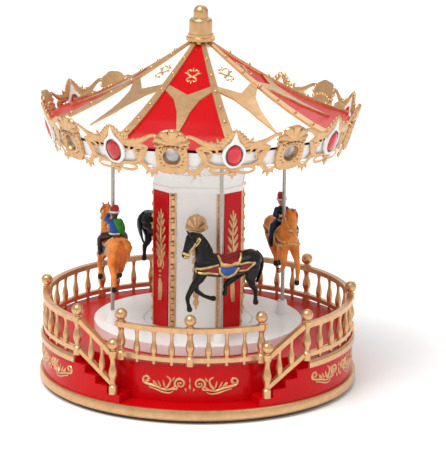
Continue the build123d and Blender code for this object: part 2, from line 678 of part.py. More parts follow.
def pinned_cylinder():
    """The music cylinder on its arbor, set with rows of short pins."""
    centre = (CYLINDER_PLACE.X, CYLINDER_PLACE.Y)
    low, high = BARREL_BOTTOM, GEAR_Z
    drum = disc(CYLINDER_RADIUS, low, high, centre)
    drum += disc(ARBOR_RADIUS, BEDPLATE_Z + 0.2, low, centre)
    drum += disc(ARBOR_RADIUS, high, TOP_PLATE_Z + 1, centre)
    pins = []
    for row in range(COMB_TEETH):
        z = comb_row(row)
        for k in range(3):
            angle = 137.5 * row + 113 * k
            start = CYLINDER_PLACE + spot(CYLINDER_RADIUS - 0.4, angle, z)
            end = CYLINDER_PLACE + spot(CYLINDER_RADIUS + PIN_LENGTH, angle, z)
            pins.append(rod(start, end, PIN_RADIUS))
    return drum + pins


def comb_row(row):
    """The height of one comb tooth and its row of pins."""
    low, high = BARREL_BOTTOM + 0.8, GEAR_Z - 1.6
    return low + (high - low) * (row + 0.5) / COMB_TEETH


def cylinder_gears():
    """The pinion over the cylinder and the fine wheel under it."""
    half_tooth = 180 / PINION_TEETH
    pinion = gear(PINION_TEETH, GEAR_MODULE, CYLINDER_ANGLE + half_tooth, GEAR_Z, GEAR_TOP)
    wheel_low = BEDPLATE_Z + BEDPLATE_THICK + 0.5
    wheel = gear(WHEEL_TEETH, FINE_MODULE, GOVERNOR_ANGLE, wheel_low, BARREL_BOTTOM - 0.6)
    bore = disc(ARBOR_RADIUS, 0, COLUMN_TOP)
    return group([Pos(*CYLINDER_PLACE) * (pinion - bore), Pos(*CYLINDER_PLACE) * (wheel - bore)])


def governor():
    """The air brake: a fine pinion and arbor with a two-bladed fan."""
    centre = (GOVERNOR_PLACE.X, GOVERNOR_PLACE.Y)
    floor = BEDPLATE_Z + BEDPLATE_THICK
    half_tooth = 180 / WORM_TEETH
    phase = GOVERNOR_ANGLE + 180 + half_tooth
    pinion = gear(WORM_TEETH, FINE_MODULE, phase, floor + 0.4, BARREL_BOTTOM - 0.4)
    brake = Pos(*GOVERNOR_PLACE) * pinion
    brake += disc(0.6, BEDPLATE_Z + 0.2, TOP_PLATE_Z + 1, centre)
    fan = Pos(centre[0], centre[1], BARREL_BOTTOM + 1) * Box(5.0, 0.5, 9, align=MIN)
    return brake + fan


def bearing_holes():
    """The arbor holes that the two movement plates share."""
    holes = disc(KEY_ARBOR_RADIUS + SHAFT_GAP, 0, 50)
    arbors = ((IDLER_PLACE, ARBOR_RADIUS), (CYLINDER_PLACE, ARBOR_RADIUS), (GOVERNOR_PLACE, 0.6))
    for place, radius in arbors:
        holes += disc(radius + SHAFT_GAP, 0, 50, (place.X, place.Y))
    return holes


def movement_bedplate():
    plate = disc(BEDPLATE_RADIUS, BEDPLATE_Z, BEDPLATE_Z + BEDPLATE_THICK) - bearing_holes()
    for p in screw_places():
        plate -= disc(SCREW_RADIUS, 0, 50, (p.X, p.Y))
    return plate


def movement_pillars():
    floor = BEDPLATE_Z + BEDPLATE_THICK
    places = [spot(PILLAR_CIRCLE, angle) for angle in PILLAR_ANGLES]
    return group([disc(PILLAR_RADIUS, floor, TOP_PLATE_Z, (p.X, p.Y)) for p in places])


def movement_top_plate():
    plate = disc(TOP_PLATE_RADIUS, TOP_PLATE_Z, TOP_PLATE_Z + TOP_PLATE_THICK)
    holes = bearing_holes() & disc(TOP_PLATE_RADIUS, TOP_PLATE_Z - 1, TOP_PLATE_Z + 1.1)
    return plate - holes


def comb():
    """A steel comb whose teeth reach the cylinder's pins from outside."""
    tip = BARREL_PITCH + PINION_PITCH + CYLINDER_RADIUS + PIN_LENGTH + FACE_GAP
    low, high = BARREL_BOTTOM + 0.8, GEAR_Z - 1.6
    plate = Box(12.5, 1.0, high - low, align=(Align.MIN, Align.CENTER, Align.MIN))
    for k in range(COMB_TEETH - 1):
        slot_z = (comb_row(k) + comb_row(k + 1)) / 2 - low
        slot = Box(7.0, 2, 0.3, align=(Align.MIN, Align.CENTER, Align.CENTER))
        plate -= Pos(0, 0, slot_z) * slot
    placed = around(CYLINDER_ANGLE, Rot(0, 0, -90) * Pos(tip, 0, low) * plate)
    return placed - comb_screw_holes()


def comb_anvil():
    """The block that the comb is screwed to."""
    tip = BARREL_PITCH + PINION_PITCH + CYLINDER_RADIUS + PIN_LENGTH + FACE_GAP
    floor = BEDPLATE_Z + BEDPLATE_THICK
    block = Box(5.0, 4.0, GEAR_Z - 1.6 - floor, align=(Align.MIN, Align.MIN, Align.MIN))
    block = Pos(tip + 7.5, 0.5, floor) * block
    return around(CYLINDER_ANGLE, Rot(0, 0, -90) * block) - comb_screw_holes()


def comb_screw(radius, start, end):
    tip = BARREL_PITCH + PINION_PITCH + CYLINDER_RADIUS + PIN_LENGTH + FACE_GAP
    screws = []
    for z in (BARREL_BOTTOM + 2.5, GEAR_Z - 3.5):
        screw = rod((tip + 10, start, z), (tip + 10, end, z), radius)
        screws.append(around(CYLINDER_ANGLE, Rot(0, 0, -90) * screw))
    return screws


def comb_screw_holes():
    return Part() + comb_screw(0.7, -1, 3)


def comb_screws():
    heads = comb_screw(1.3, -1.3, -0.5)
    return group([head + shank for head, shank in zip(heads, comb_screw(0.7, -0.5, 3))])


def winding_key():
    """The butterfly key in the base's well, with the arbor that winds the spring."""
    low = FOOT_STANDOUT + 0.4
    roof = BEDPLATE_Z - 1.5
    arbor = disc(KEY_ARBOR_RADIUS, low, TOP_PLATE_Z + 1)
    hub = disc(KEY_ARBOR_RADIUS + 1.5, low, roof - FACE_GAP)
    wing_plane = Plane(origin=(0, 0.9, (low + roof) / 2), z_dir=(0, -1, 0))
    half = (roof - low) / 2 - FACE_GAP
    reach = KEY_SPAN - half
    wings = Box(2 * reach, 1.8, 2 * half)
    wings += Pos(reach, 0, 0) * Rot(90, 0, 0) * Cylinder(half, 1.8)
    wings += Pos(-reach, 0, 0) * Rot(90, 0, 0) * Cylinder(half, 1.8)
    return arbor + hub + Pos(0, 0, (low + roof) / 2) * wings


# ---- canopy -------------------------------------------------------------------------
def roof_height(radius):
    """Height of the roof along a rib: a concave tent curve."""
    share = (radius - ROOF_TOP_RADIUS) / (ROOF_RIM_RADIUS - ROOF_TOP_RADIUS)
    return ROOF_RIM_Z + ROOF_RISE * (1 - share) ** ROOF_CURVE


def fold_share(radius):
    """How far out the middle of a bay stands, as a share of the rib's radius."""
    fold = max(0.0, (radius - FOLD_START) / (ROOF_RIM_RADIUS - FOLD_START))
    return HALF_BAY_COS + (1 - HALF_BAY_COS) * fold


def roof_solid(lift):
    """The roof's outer form, raised by a lift, closed underneath."""
    sections = []
    for k in range(ROOF_STATIONS):
        radius = ROOF_TOP_RADIUS + (ROOF_RIM_RADIUS - ROOF_TOP_RADIUS) * k / (ROOF_STATIONS - 1)
        corners = []
        for j in range(ROOF_BAYS):
            corners.append(spot(radius, RIB_ANGLE + BAY * j))
            corners.append(spot(radius * fold_share(radius), RIB_ANGLE + BAY * (j + 0.5)))
        face = make_face(Polyline(*[(c.X, c.Y) for c in corners], close=True))
        sections.append(Pos(0, 0, roof_height(radius) + lift) * face)
    return loft(sections, ruled=True)


def fascia_cone(inset):
    """Everything inside the fascia's leaning surface, less an inset."""
    low, high = FASCIA_BOTTOM - 10, FINIAL_TIP
    foot = FASCIA_FOOT_RADIUS - inset
    radius_low = foot + (low - FASCIA_BOTTOM) * LEAN_TAN
    radius_high = foot + (high - FASCIA_BOTTOM) * LEAN_TAN
    return Pos(0, 0, low) * Cone(radius_low, radius_high, high - low, align=MIN)


ROOF = roof_solid(0)
WALL_INSET = FASCIA_THICK / math.cos(math.radians(FASCIA_LEAN))
INSIDE_FASCIA = fascia_cone(WALL_INSET)


def roof_panels():
    shell = (ROOF - roof_solid(-ROOF_THICK)) & INSIDE_FASCIA
    shell -= disc(ROOF_TOP_RADIUS, ROOF_RIM_Z, FINIAL_TIP)
    wedges = []
    for k in range(ROOF_BAYS):
        start = RIB_ANGLE + BAY * k
        wedge = sector(0, ROOF_RIM_RADIUS + 5, ROOF_RIM_Z - 5, FINIAL_TIP, start, start + BAY)
        wedges.append(shell & wedge)
    return group(wedges[0::2]), group(wedges[1::2])


def rib_strip():
    """The tapered strip over the first joint between two panels."""
    radii = [ROOF_TOP_RADIUS + (ROOF_RIM_RADIUS - ROOF_TOP_RADIUS) * k / 12 for k in range(13)]
    top = [(r, roof_height(r) + RIB_THICK) for r in radii]
    bottom = [(r, roof_height(r) - 3) for r in reversed(radii)]
    side = Plane.XZ * make_face(Polyline(*(top + bottom), close=True))
    strip = extrude(side, ROOF_RIM_RADIUS, both=True)
    half_top, half_rim = RIB_TOP_WIDTH / 2, RIB_RIM_WIDTH / 2
    plan = Polyline((ROOF_TOP_RADIUS, -half_top), (ROOF_RIM_RADIUS, -half_rim), (ROOF_RIM_RADIUS, half_rim),
                    (ROOF_TOP_RADIUS, half_top), close=True)
    strip = strip & Pos(0, 0, ROOF_RIM_Z) * extrude(make_face(plan), FINIAL_TIP)
    strip = around(RIB_ANGLE - 90, strip)
    return (strip - ROOF) & INSIDE_FASCIA


def roof_ribs():
    strip = rib_strip()
    return group([around(BAY * k, strip) for k in range(ROOF_BAYS)])


def rib_rivets():
    """Domed studs along each rib."""
    strip = rib_strip()
    rivets = []
    for k in range(RIVETS_PER_RIB):
        radius = FIRST_RIVET + RIVET_PITCH * k
        slope = math.degrees(math.atan2(roof_height(radius - 1) - roof_height(radius + 1), 2))
        seat = Pos(radius, 0, roof_height(radius) + RIB_THICK - 0.2) * Rot(0, slope, 0)
        stud = around(RIB_ANGLE - 90, seat * (Sphere(RIVET_RADIUS) & Box(4, 4, 4, align=MIN))) - strip
        rivets += [around(BAY * j, stud) for j in range(ROOF_BAYS)]
    return group(rivets)


def roof_stars():
    """A thin creased star on each bay: two arms to the ribs and a long spike, on the roof's folds."""
    layer = roof_solid(STAR_THICK) - ROOF
    arm, low_arm, spike = STAR_ARM_RADIUS, STAR_ARM_RADIUS + STAR_ARM_WIDTH, STAR_SPIKE_RADIUS
    half_bay = math.tan(math.radians(BAY / 2))
    waist = low_arm + (spike - low_arm) * 0.2
    slim = low_arm + (spike - low_arm) * 0.45
    half = [(arm, arm * half_bay), (low_arm, low_arm * half_bay), (waist, waist * 0.17),
            (slim, slim * 0.07)]
    plan = [(STAR_NOTCH_RADIUS, 0)] + half + [(spike, 0)] + [(r, -w) for r, w in reversed(half)]
    prism = extrude(make_face(Polyline(*plan, close=True)), FINIAL_TIP)
    star = layer & around(RIB_ANGLE + BAY / 2 - 90, prism)
    star -= [around(BAY * k, rib_strip()) for k in range(2)]
    return group([around(BAY * k, star) for k in range(ROOF_BAYS)])


def canopy_ceiling():
    """A thin disc with an upright wall that backs the fascia's openwork."""
    plate = disc(ROOF_RIM_RADIUS, CEILING_Z, CEILING_Z + CEILING_THICK) & INSIDE_FASCIA
    wall = INSIDE_FASCIA & disc(ROOF_RIM_RADIUS + 5, CEILING_Z, ROOF_RIM_Z - ROOF_THICK)
    plate += wall - fascia_cone(WALL_INSET + CEILING_WALL)
    plate -= disc(POST_SHAFT_RADIUS + 3, 0, FINIAL_TIP)
    for k in range(4):
        p = spot(POLE_CIRCLE, POLE_ANGLE + 90 * k)
        plate -= disc(POLE_RADIUS + 1.4, 0, FINIAL_TIP, (p.X, p.Y))
    return plate


def canopy_bushes():
    """Brass bushes: four for the poles, one at the ceiling and one under the finial."""
    bushes = []
    for k in range(4):
        p = spot(POLE_CIRCLE, POLE_ANGLE + 90 * k)
        bush = disc(POLE_RADIUS + 1.4, CEILING_Z - 0.6, CEILING_Z + CEILING_THICK + 1, (p.X, p.Y))
        bush += disc(POLE_RADIUS + 2.4, CEILING_Z - 0.6, CEILING_Z, (p.X, p.Y))
        bushes.append(bush - disc(POLE_RADIUS + SHAFT_GAP, 0, FINIAL_TIP, (p.X, p.Y)))
    bore = POST_SHAFT_RADIUS + SHAFT_GAP
    low_bush = disc(POST_SHAFT_RADIUS + 3, CEILING_Z - 0.6, CEILING_Z + 8)
    low_bush += disc(POST_SHAFT_RADIUS + 5, CEILING_Z + CEILING_THICK, CEILING_Z + CEILING_THICK + 1.5)
    bushes.append(low_bush - disc(bore, 0, FINIAL_TIP))
    top = roof_height(ROOF_TOP_RADIUS) + ROOF_THICK
    high_bush = disc(ROOF_TOP_RADIUS, top - 14, top)
    bushes.append(high_bush - disc(bore, 0, top - 3))
    return group(bushes)


def on_fascia(z, angle, shape):
    """Stand a shape modelled face up (its top towards +Y) on the fascia's leaning face."""
    radius = FASCIA_FOOT_RADIUS + (z - FASCIA_BOTTOM) * LEAN_TAN
    lean = math.radians(FASCIA_LEAN)
    seat = Plane(origin=(0, -radius, z), x_dir=(1, 0, 0), z_dir=(0, -math.cos(lean), -math.sin(lean)))
    return around(angle, seat * shape)


MEDALLION_ANGLES = [RIB_ANGLE + BAY * (k + 0.5) for k in range(ROOF_BAYS)]
JEWEL_ANGLES = [RIB_ANGLE + BAY * k for k in range(ROOF_BAYS)]


def fascia_ring():
    """The leaning ring round the canopy, pierced and scalloped."""
    low, high = FASCIA_BOTTOM, FASCIA_TOP
    band = (fascia_cone(0) - INSIDE_FASCIA) & disc(ROOF_RIM_RADIUS + 20, low, high)
    reach = FASCIA_FOOT_RADIUS + 20
    cutters = []
    for angle in MEDALLION_ANGLES:
        inside, outside = spot(40, angle, JEWEL_Z), spot(reach, angle, JEWEL_Z - 20 * LEAN_TAN)
        cutters.append(rod(inside, outside, LENS_RADIUS - 0.6))
        for side in (-1, 1):
            dip = angle + side * 14.5
            cutters.append(rod(spot(40, dip, high + 2), spot(reach, dip, high + 2), 4.5))
            window = angle + side * 10.5
            cutters.append(rod(spot(40, window, JEWEL_Z + 2), spot(reach, window, JEWEL_Z + 2), 3.2))
            eye = window + side
            cutters.append(rod(spot(40, eye, low + 4.4), spot(reach, eye, low + 4.4), 2.2))
            notch = angle + side * 7.6
            cutters.append(rod(spot(40, notch, low - 1), spot(reach, notch, low - 1), 3.0))
    return band - cutters


def all_round(angles, shape):
    """Copies of a shape, turned to each of the angles."""
    return group([around(angle - angles[0], shape) for angle in angles])


def lens_place():
    """The lens centre above the medallion's own centre, along the leaning face."""
    return (JEWEL_Z - LENS_DROP - MEDALLION_Z) / math.cos(math.radians(FASCIA_LEAN))


def fascia_medallions():
    """Framed medallions with a round window and a shell crest."""
    plate = extrude(RectangleRounded(MEDALLION_WIDTH, MEDALLION_HEIGHT, 5.0), MEDALLION_THICK - 0.8)
    window_rim = Pos(0, lens_place(), 0) * extrude(Circle(LENS_RADIUS + 1.8), MEDALLION_THICK)
    crest_centre = MEDALLION_HEIGHT / 2 + CREST_HEIGHT - CREST_RADIUS
    crest = Pos(0, crest_centre, 0) * extrude(Circle(CREST_RADIUS), MEDALLION_THICK - 1.2)
    sunk = Pos(0, 0, -MEDALLION_SINK) * (plate + window_rim + crest)
    sunk -= Pos(0, lens_place(), 0) * Cylinder(LENS_RADIUS, 4 * MEDALLION_THICK)
    angle = MEDALLION_ANGLES[0]
    return all_round(MEDALLION_ANGLES, on_fascia(MEDALLION_Z, angle, sunk) - fascia_cone(0))


def clear_lenses():
    """Domed clear stones seated in the medallion windows."""
    depth = MEDALLION_THICK - MEDALLION_SINK - 1.2
    seat = Pos(0, lens_place(), 0) * Cylinder(LENS_RADIUS, depth, align=MIN)
    angle = MEDALLION_ANGLES[0]
    return all_round(MEDALLION_ANGLES, on_fascia(MEDALLION_Z, angle, seat) - fascia_cone(0))


def jewel_frames():
    """Teardrop settings for the oval stones."""
    half_w, half_h = JEWEL_WIDTH / 2 + JEWEL_RIM, JEWEL_HEIGHT / 2 + JEWEL_RIM
    oval = Ellipse(half_w, half_h)
    drop = Polyline((-half_w * 0.8, -half_h * 0.6), (half_w * 0.8, -half_h * 0.6),
                    (0, -half_h - 3.0), close=True)
    leaf = Polyline((-half_w, half_h * 0.4), (-half_w - 1.5, half_h + 1), (0, half_h + JEWEL_LEAF),
                    (half_w + 1.5, half_h + 1), (half_w, half_h * 0.4), close=True)
    frame = extrude(oval + make_face(drop), JEWEL_FRAME_THICK)
    frame += extrude(make_face(leaf), JEWEL_FRAME_THICK - 0.8)
    opening = extrude(Ellipse(JEWEL_WIDTH / 2, JEWEL_HEIGHT / 2), 10, both=True)
    frame = Pos(0, 0, -MEDALLION_SINK) * frame - opening
    angle = JEWEL_ANGLES[0]
    return all_round(JEWEL_ANGLES, on_fascia(JEWEL_Z, angle, frame) - fascia_cone(0))


def ruby_jewels():
    """Oval domed stones."""
    stone = extrude(Ellipse(JEWEL_WIDTH / 2, JEWEL_HEIGHT / 2), JEWEL_FRAME_THICK - MEDALLION_SINK)
    angle = JEWEL_ANGLES[0]
    return all_round(JEWEL_ANGLES, on_fascia(JEWEL_Z, angle, stone) - fascia_cone(0))


def finial():
    """Stepped flange, round-shouldered bell and small dome, turned in one."""
    seat = roof_height(ROOF_TOP_RADIUS) + ROOF_THICK
    height = FINIAL_TIP - seat
    step, bell_foot, bell_top = FINIAL_FLANGE * 0.2, height * 0.18, height * 0.64
    dome_foot = height - FINIAL_DOME
    turn = math.sqrt(0.5)
    shoulder = FINIAL_BELL - FINIAL_DOME
    outline = [
        Polyline((0, 0), (FINIAL_FLANGE, 0), (FINIAL_FLANGE, step), (FINIAL_BELL + 0.8, step + 0.6),
                 (FINIAL_BELL + 0.8, bell_foot), (FINIAL_BELL, bell_foot),
                 (FINIAL_BELL, bell_top - shoulder)),
        ThreePointArc((FINIAL_BELL, bell_top - shoulder),
                      (FINIAL_DOME + shoulder * turn, bell_top - shoulder * (1 - turn)),
                      (FINIAL_DOME, bell_top)),
        Line((FINIAL_DOME, bell_top), (FINIAL_DOME, dome_foot)),
        ThreePointArc((FINIAL_DOME, dome_foot),
                      (FINIAL_DOME * turn, dome_foot + FINIAL_DOME * turn), (0, height)),
        Line((0, height), (0, 0)),
    ]
    return Pos(0, 0, seat) * revolve(Plane.XZ * make_face(Curve() + outline), Axis.Z)


# ---- poles, horses and riders -------------------------------------------------------
HORSES = {"front": (0, -1), "right": (1, 1), "back": (2, -1), "left": (3, 1)}


def rest_height(side):
    return HORSES[side][1] * BOB_REST_SHIFT


def at_pole(side, shape):
    """Stand a shape at one pole, its forward +X along the clockwise way round."""
    quarter, _ = HORSES[side]
    lifted = Pos(0, -POLE_CIRCLE, HORSE_Z + rest_height(side)) * Rot(0, 0, 180) * shape
    return around(POLE_ANGLE + 90 * quarter, lifted)


def pole(side):
    """A pole with the rounded follower on its foot."""
    shift = rest_height(side)
    low = FOLLOWER_Z + shift
    place = spot(POLE_CIRCLE, POLE_ANGLE + 90 * HORSES[side][0])
    foot = Pos(place.X, place.Y, low + FOLLOWER_RADIUS) * Sphere(FOLLOWER_RADIUS)
    return foot + disc(POLE_RADIUS, low + FOLLOWER_RADIUS, POLE_TOP + shift, (place.X, place.Y))


def horse_form():
    """A galloping horse about its pole: X forward, Z from the body's centre line."""
    barrel = [(-17.0, 0, 2.4), (-4.0, 0, -0.3), (9.5, 0, 1.4)]
    body = limb(barrel, [BODY_RADIUS * 1.05, BODY_RADIUS, BODY_RADIUS])
    neck = limb([(10.5, 0, 4.5), (17.0, 0, 14.5)], [5.4, 3.4])
    head = limb([(18.6, 0, 17.0), (21.6, 0, 7.6)], [3.3, 1.9])
    ears = limb([(18.8, 1.4, 19.0), (20.2, 1.8, 22.2)], [1.0, 0.5])
    ears += limb([(18.8, -1.4, 19.0), (20.2, -1.8, 22.2)], [1.0, 0.5])
    crest = limb([(16.0, 0, 18.6), (10.0, 0, 13.0), (5.6, 0, 7.0)], [2.0, 2.4, 2.0])
    legs = [
        ([(12, 3.2, -3), (17, 3.4, -9), (20.6, 3.2, -16.5), (19.4, 3.2, -23)],
         [3.4, 2.1, 1.5, 1.9]),
        ([(12, -3.2, -5), (14.5, -3.4, -13.5), (8.5, -3.2, -18.6), (3.4, -3.2, -18.8)],
         [3.2, 2.0, 1.4, 1.8]),
        ([(-14, -3.4, -3), (-6.5, -3.4, -9.5), (-4.4, -3.4, -14), (-3.6, -3.4, -17.5)],
         [4.2, 2.2, 1.4, 1.8]),
        ([(-18, 3.4, -2), (-16.5, 3.4, -10), (-20.5, 3.4, -15), (-20.3, 3.4, -21)],
         [4.4, 2.4, 1.5, 1.9]),
    ]
    tail = limb([(-21.5, 0, 7.5), (-25.0, 0, 3.0), (-23.8, 0, -5.0)], [1.8, 2.4, 1.3])
    horse = body + neck + head + ears + crest + tail
    for points, radii in legs:
        horse += limb(points, radii)
    return horse - Cylinder(POLE_RADIUS, 60)


def saddle_form(horse):
    """A blanket and seat laid over the horse's back."""
    wrap = Pos(-3.5, 0, 0.4) * Rot(0, 90, 0) * Cylinder(BODY_RADIUS + 1.1, 14)
    upper = Pos(-3.5, 0, -1.5) * Box(20, 30, 12, align=MIN)
    return (wrap & upper) - horse - Cylinder(POLE_RADIUS, 60)


def rider_form(horse):
    """A small seated figure just behind the pole, hands on it."""
    rider = limb([(-6.2, 0, 8.4), (-5.2, 0, 15.5)], [3.6, 3.3])
    rider += Pos(-4.4, 0, 21.4) * Sphere(2.9)
    rider += Pos(-4.4, 0, 22.6) * Cone(3.2, 1.6, 3.6, align=MIN)
    for side in (-1, 1):
        knee, ankle = (0.5, side * 7.2, 4.6), (-0.8, side * 7.6, -3.0)
        elbow, hand = (-1.6, side * 4.6, 11.6), (1.2, side * 2.0, 12.0)
        rider += limb([(-5.6, side * 3.2, 8.2), knee, ankle], [2.3, 2.0, 1.6])
        rider += limb([(-0.8, side * 7.6, -3.4), (1.6, side * 7.6, -4.2)], [1.7, 1.4])
        rider += limb([(-5.2, side * 3.6, 15.6), elbow, hand], [1.7, 1.4, 1.2])
    return rider - horse - Cylinder(POLE_RADIUS, 60)


# ---- the nodes ----------------------------------------------------------------------
def all_nodes():
    white_panels, red_panels = roof_panels()
    nodes = {
        "base_plate": base_plate(), "feet": feet(), "assembly_screws": assembly_screws(),
        "plinth_ring": plinth_ring(), "drum_shell": drum_shell(), "drum_rim": drum_rim(),
        "drum_scrolls": drum_scrolls(), "front_balustrade": front_balustrade(),
        "rear_balustrade": rear_balustrade(),
        "stair_rail_left": stair_rail(-1), "stair_rail_right": stair_rail(1),
        "column_plinth": column_plinth(), "column_shell": column_shell(),
        "column_red_panels": column_red_panels(), "column_borders": column_borders(),
        "column_ornaments": column_ornaments(), "column_capital": column_capital(),
        "centre_post": centre_post(), "glide_ring": glide_ring(), "wave_cam": wave_cam(),
        "movement_bedplate": movement_bedplate(), "movement_pillars": movement_pillars(),
        "movement_top_plate": movement_top_plate(), "comb": comb(), "comb_anvil": comb_anvil(),
        "comb_screws": comb_screws(), "winding_key": winding_key(), "spring_barrel": spring_barrel(),
        "mainspring": mainspring(), "idler_gear": idler_gear(), "pinned_cylinder": pinned_cylinder(),
        "cylinder_gears": cylinder_gears(), "governor": governor(),
        "turntable": turntable(), "ring_gear": ring_gear(), "canopy_ceiling": canopy_ceiling(),
        "canopy_bushes": canopy_bushes(), "roof_white_panels": white_panels, "roof_red_panels": red_panels,
        "roof_ribs": roof_ribs(), "rib_rivets": rib_rivets(), "roof_stars": roof_stars(),
        "fascia_ring": fascia_ring(), "fascia_medallions": fascia_medallions(),
        "jewel_frames": jewel_frames(),
        "ruby_jewels": ruby_jewels(), "clear_lenses": clear_lenses(), "finial": finial(),
    }
    horse = horse_form()
    saddle = saddle_form(horse)
    rider = rider_form(horse)
    for side in HORSES:
        nodes[side + "_pole"] = pole(side)
        nodes[side + "_horse"] = at_pole(side, horse)
    for side in ("front", "back"):
        nodes[side + "_saddle"] = at_pole(side, saddle)
    for side in ("right", "left"):
        nodes[side + "_rider"] = at_pole(side, rider)
    return nodes


os.makedirs("parts", exist_ok=True)
for name, shape in all_nodes().items():
    export_step(shape, os.path.join("parts", name + ".step"))
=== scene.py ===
import json
from math import cos, degrees, exp, pi, radians, sin, sqrt, tan

import bmesh
import bpy
from bpy.props import FloatProperty, FloatVectorProperty
from mathutils import Matrix, Vector
from mathutils.bvhtree import BVHTree


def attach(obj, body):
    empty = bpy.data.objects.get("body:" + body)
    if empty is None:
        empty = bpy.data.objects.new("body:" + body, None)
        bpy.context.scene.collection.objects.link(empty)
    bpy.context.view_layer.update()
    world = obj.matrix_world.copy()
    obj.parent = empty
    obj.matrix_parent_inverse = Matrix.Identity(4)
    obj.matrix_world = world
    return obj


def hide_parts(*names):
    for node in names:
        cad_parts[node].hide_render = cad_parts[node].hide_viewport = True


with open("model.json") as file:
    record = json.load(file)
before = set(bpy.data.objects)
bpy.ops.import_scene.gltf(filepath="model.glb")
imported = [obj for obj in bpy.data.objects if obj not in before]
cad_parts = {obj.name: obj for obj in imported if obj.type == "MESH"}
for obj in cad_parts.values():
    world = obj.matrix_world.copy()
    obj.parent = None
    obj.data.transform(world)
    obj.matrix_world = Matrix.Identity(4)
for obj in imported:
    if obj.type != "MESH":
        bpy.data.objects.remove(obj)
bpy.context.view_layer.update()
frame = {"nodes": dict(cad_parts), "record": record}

bl_info = {
    "name": "Carousel music box",
    "version": (1, 0, 0),
    "blender": (4, 5, 0),
    "location": "3D View > Sidebar > Carousel",
    "description": "Ornaments, horses, riders and finishes of a wind-up carousel music box",
    "category": "Object",
}

MM = 0.001
NODES = frame["nodes"]

# Shared with the carousel's design, millimetres and degrees from the front.
BAYS = 8
BAY = 360 / BAYS
RIB_ANGLE = 15.6
JEWEL_TURNS = [RIB_ANGLE + BAY * k for k in range(BAYS)]
MEDALLION_TURNS = [RIB_ANGLE + BAY * (k + 0.5) for k in range(BAYS)]
FASCIA_LEAN = 17.7
FASCIA_FOOT_RADIUS = 85.4
FASCIA_FOOT_Z = 144.0
JEWEL_Z = 157.0
JEWEL_RADIUS = FASCIA_FOOT_RADIUS + (JEWEL_Z - FASCIA_FOOT_Z) * tan(radians(FASCIA_LEAN))
HALF_BAY_RUN = radians(BAY / 2) * JEWEL_RADIUS
POLE_CIRCLE = 52.5
POLE_ANGLE = 17.3
HORSE_Z = 83.4
RIDES = {"front": (0, -1.0), "right": (1, 1.0), "back": (2, -1.0), "left": (3, 1.0)}
FRONT_WALL_RADIUS = 79.5
DRUM_RADIUS = 93.0
SCROLL_Z = 19.5
COLUMN_APOTHEM = 25.5
COLUMN_HALF_FACE = 15.8
RED_FACE_DISTANCE = (COLUMN_APOTHEM + COLUMN_HALF_FACE) / sqrt(2) + 0.8
COLUMN_FOOT_Z = 37.0
BORDER_TOP_Z = 120.0
WHITE_FACES = [0, 90, 180, 270]
RED_FACES = [45, 135, 225, 315]
DRUM_PANEL_TURNS = [66 + 57 * k for k in range(5)]

# Bar widths in millimetres that the ornaments' own numbers are drawn for.
SCROLL_LINE = 1.5
FASCIA_LINE = 1.9


# ---- sizes and colours that a user may change ---------------------------------------
def linear(code):
    """The linear colour of an sRGB hex code."""
    shares = [int(code[k:k + 2], 16) / 255 for k in (1, 3, 5)]
    return tuple(s / 12.92 if s <= 0.04045 else ((s + 0.055) / 1.055) ** 2.4 for s in shares)


def colour(label, note, code):
    return FloatVectorProperty(name=label, description=note, subtype="COLOR", size=3, min=0, max=1,
                               default=linear(code))


def length(label, note, size):
    return FloatProperty(name=label, description=note, unit="LENGTH", default=size * MM, min=0)


class CarouselSizes(bpy.types.PropertyGroup):
    scroll_line: length("Scroll line", "Width of the drum ornaments' main stems", SCROLL_LINE)
    fascia_line: length("Fascia line", "Width of the bars in the fascia's openwork", FASCIA_LINE)
    stud: length("Column stud", "Side of the square studs in the column's borders", 2.3)
    stud_pitch: length("Stud pitch", "Distance between the studs", 7.0)
    horse_voxel: length("Horse detail", "Size of the smallest form in a horse", 0.42)
    rider_voxel: length("Rider detail", "Size of the smallest form in a rider", 0.32)


class CarouselColours(bpy.types.PropertyGroup):
    gold: colour("Gold lacquer", "Satin gold of rails, ribs and openwork", "#DDB080")
    pale_gold: colour("Pale gold", "Painted trim of the horses", "#F0D08A")
    red: colour("Red", "Drum, panels and column", "#C8060F")
    white: colour("White", "Turntable, panels and column", "#F4F2EF")
    black: colour("Black", "Bottom plate", "#101012")
    ruby: colour("Ruby", "Oval stones", "#E0061B")
    bay_coat: colour("Tan coat", "Enamel of the two ridden horses", "#F08C36")
    dark_coat: colour("Black coat", "Enamel of the two saddled horses", "#050505")
    saddle: colour("Saddle", "Seats of the saddled horses", "#8E0F14")
    blanket: colour("Blanket", "Saddle blankets", "#2A5FA8")


# ---- finishes -----------------------------------------------------------------------
def add(tree, kind, settings=None, **links):
    """Add a node, set its own settings and sockets, and link its named inputs."""
    node = tree.nodes.new(kind)
    for key, value in (settings or {}).items():
        if hasattr(node, key) and key not in node.inputs:
            setattr(node, key, value)
        else:
            node.inputs[key].default_value = value
    for key, source in links.items():
        tree.links.new(source, node.inputs[key.replace("_", " ")])
    return node


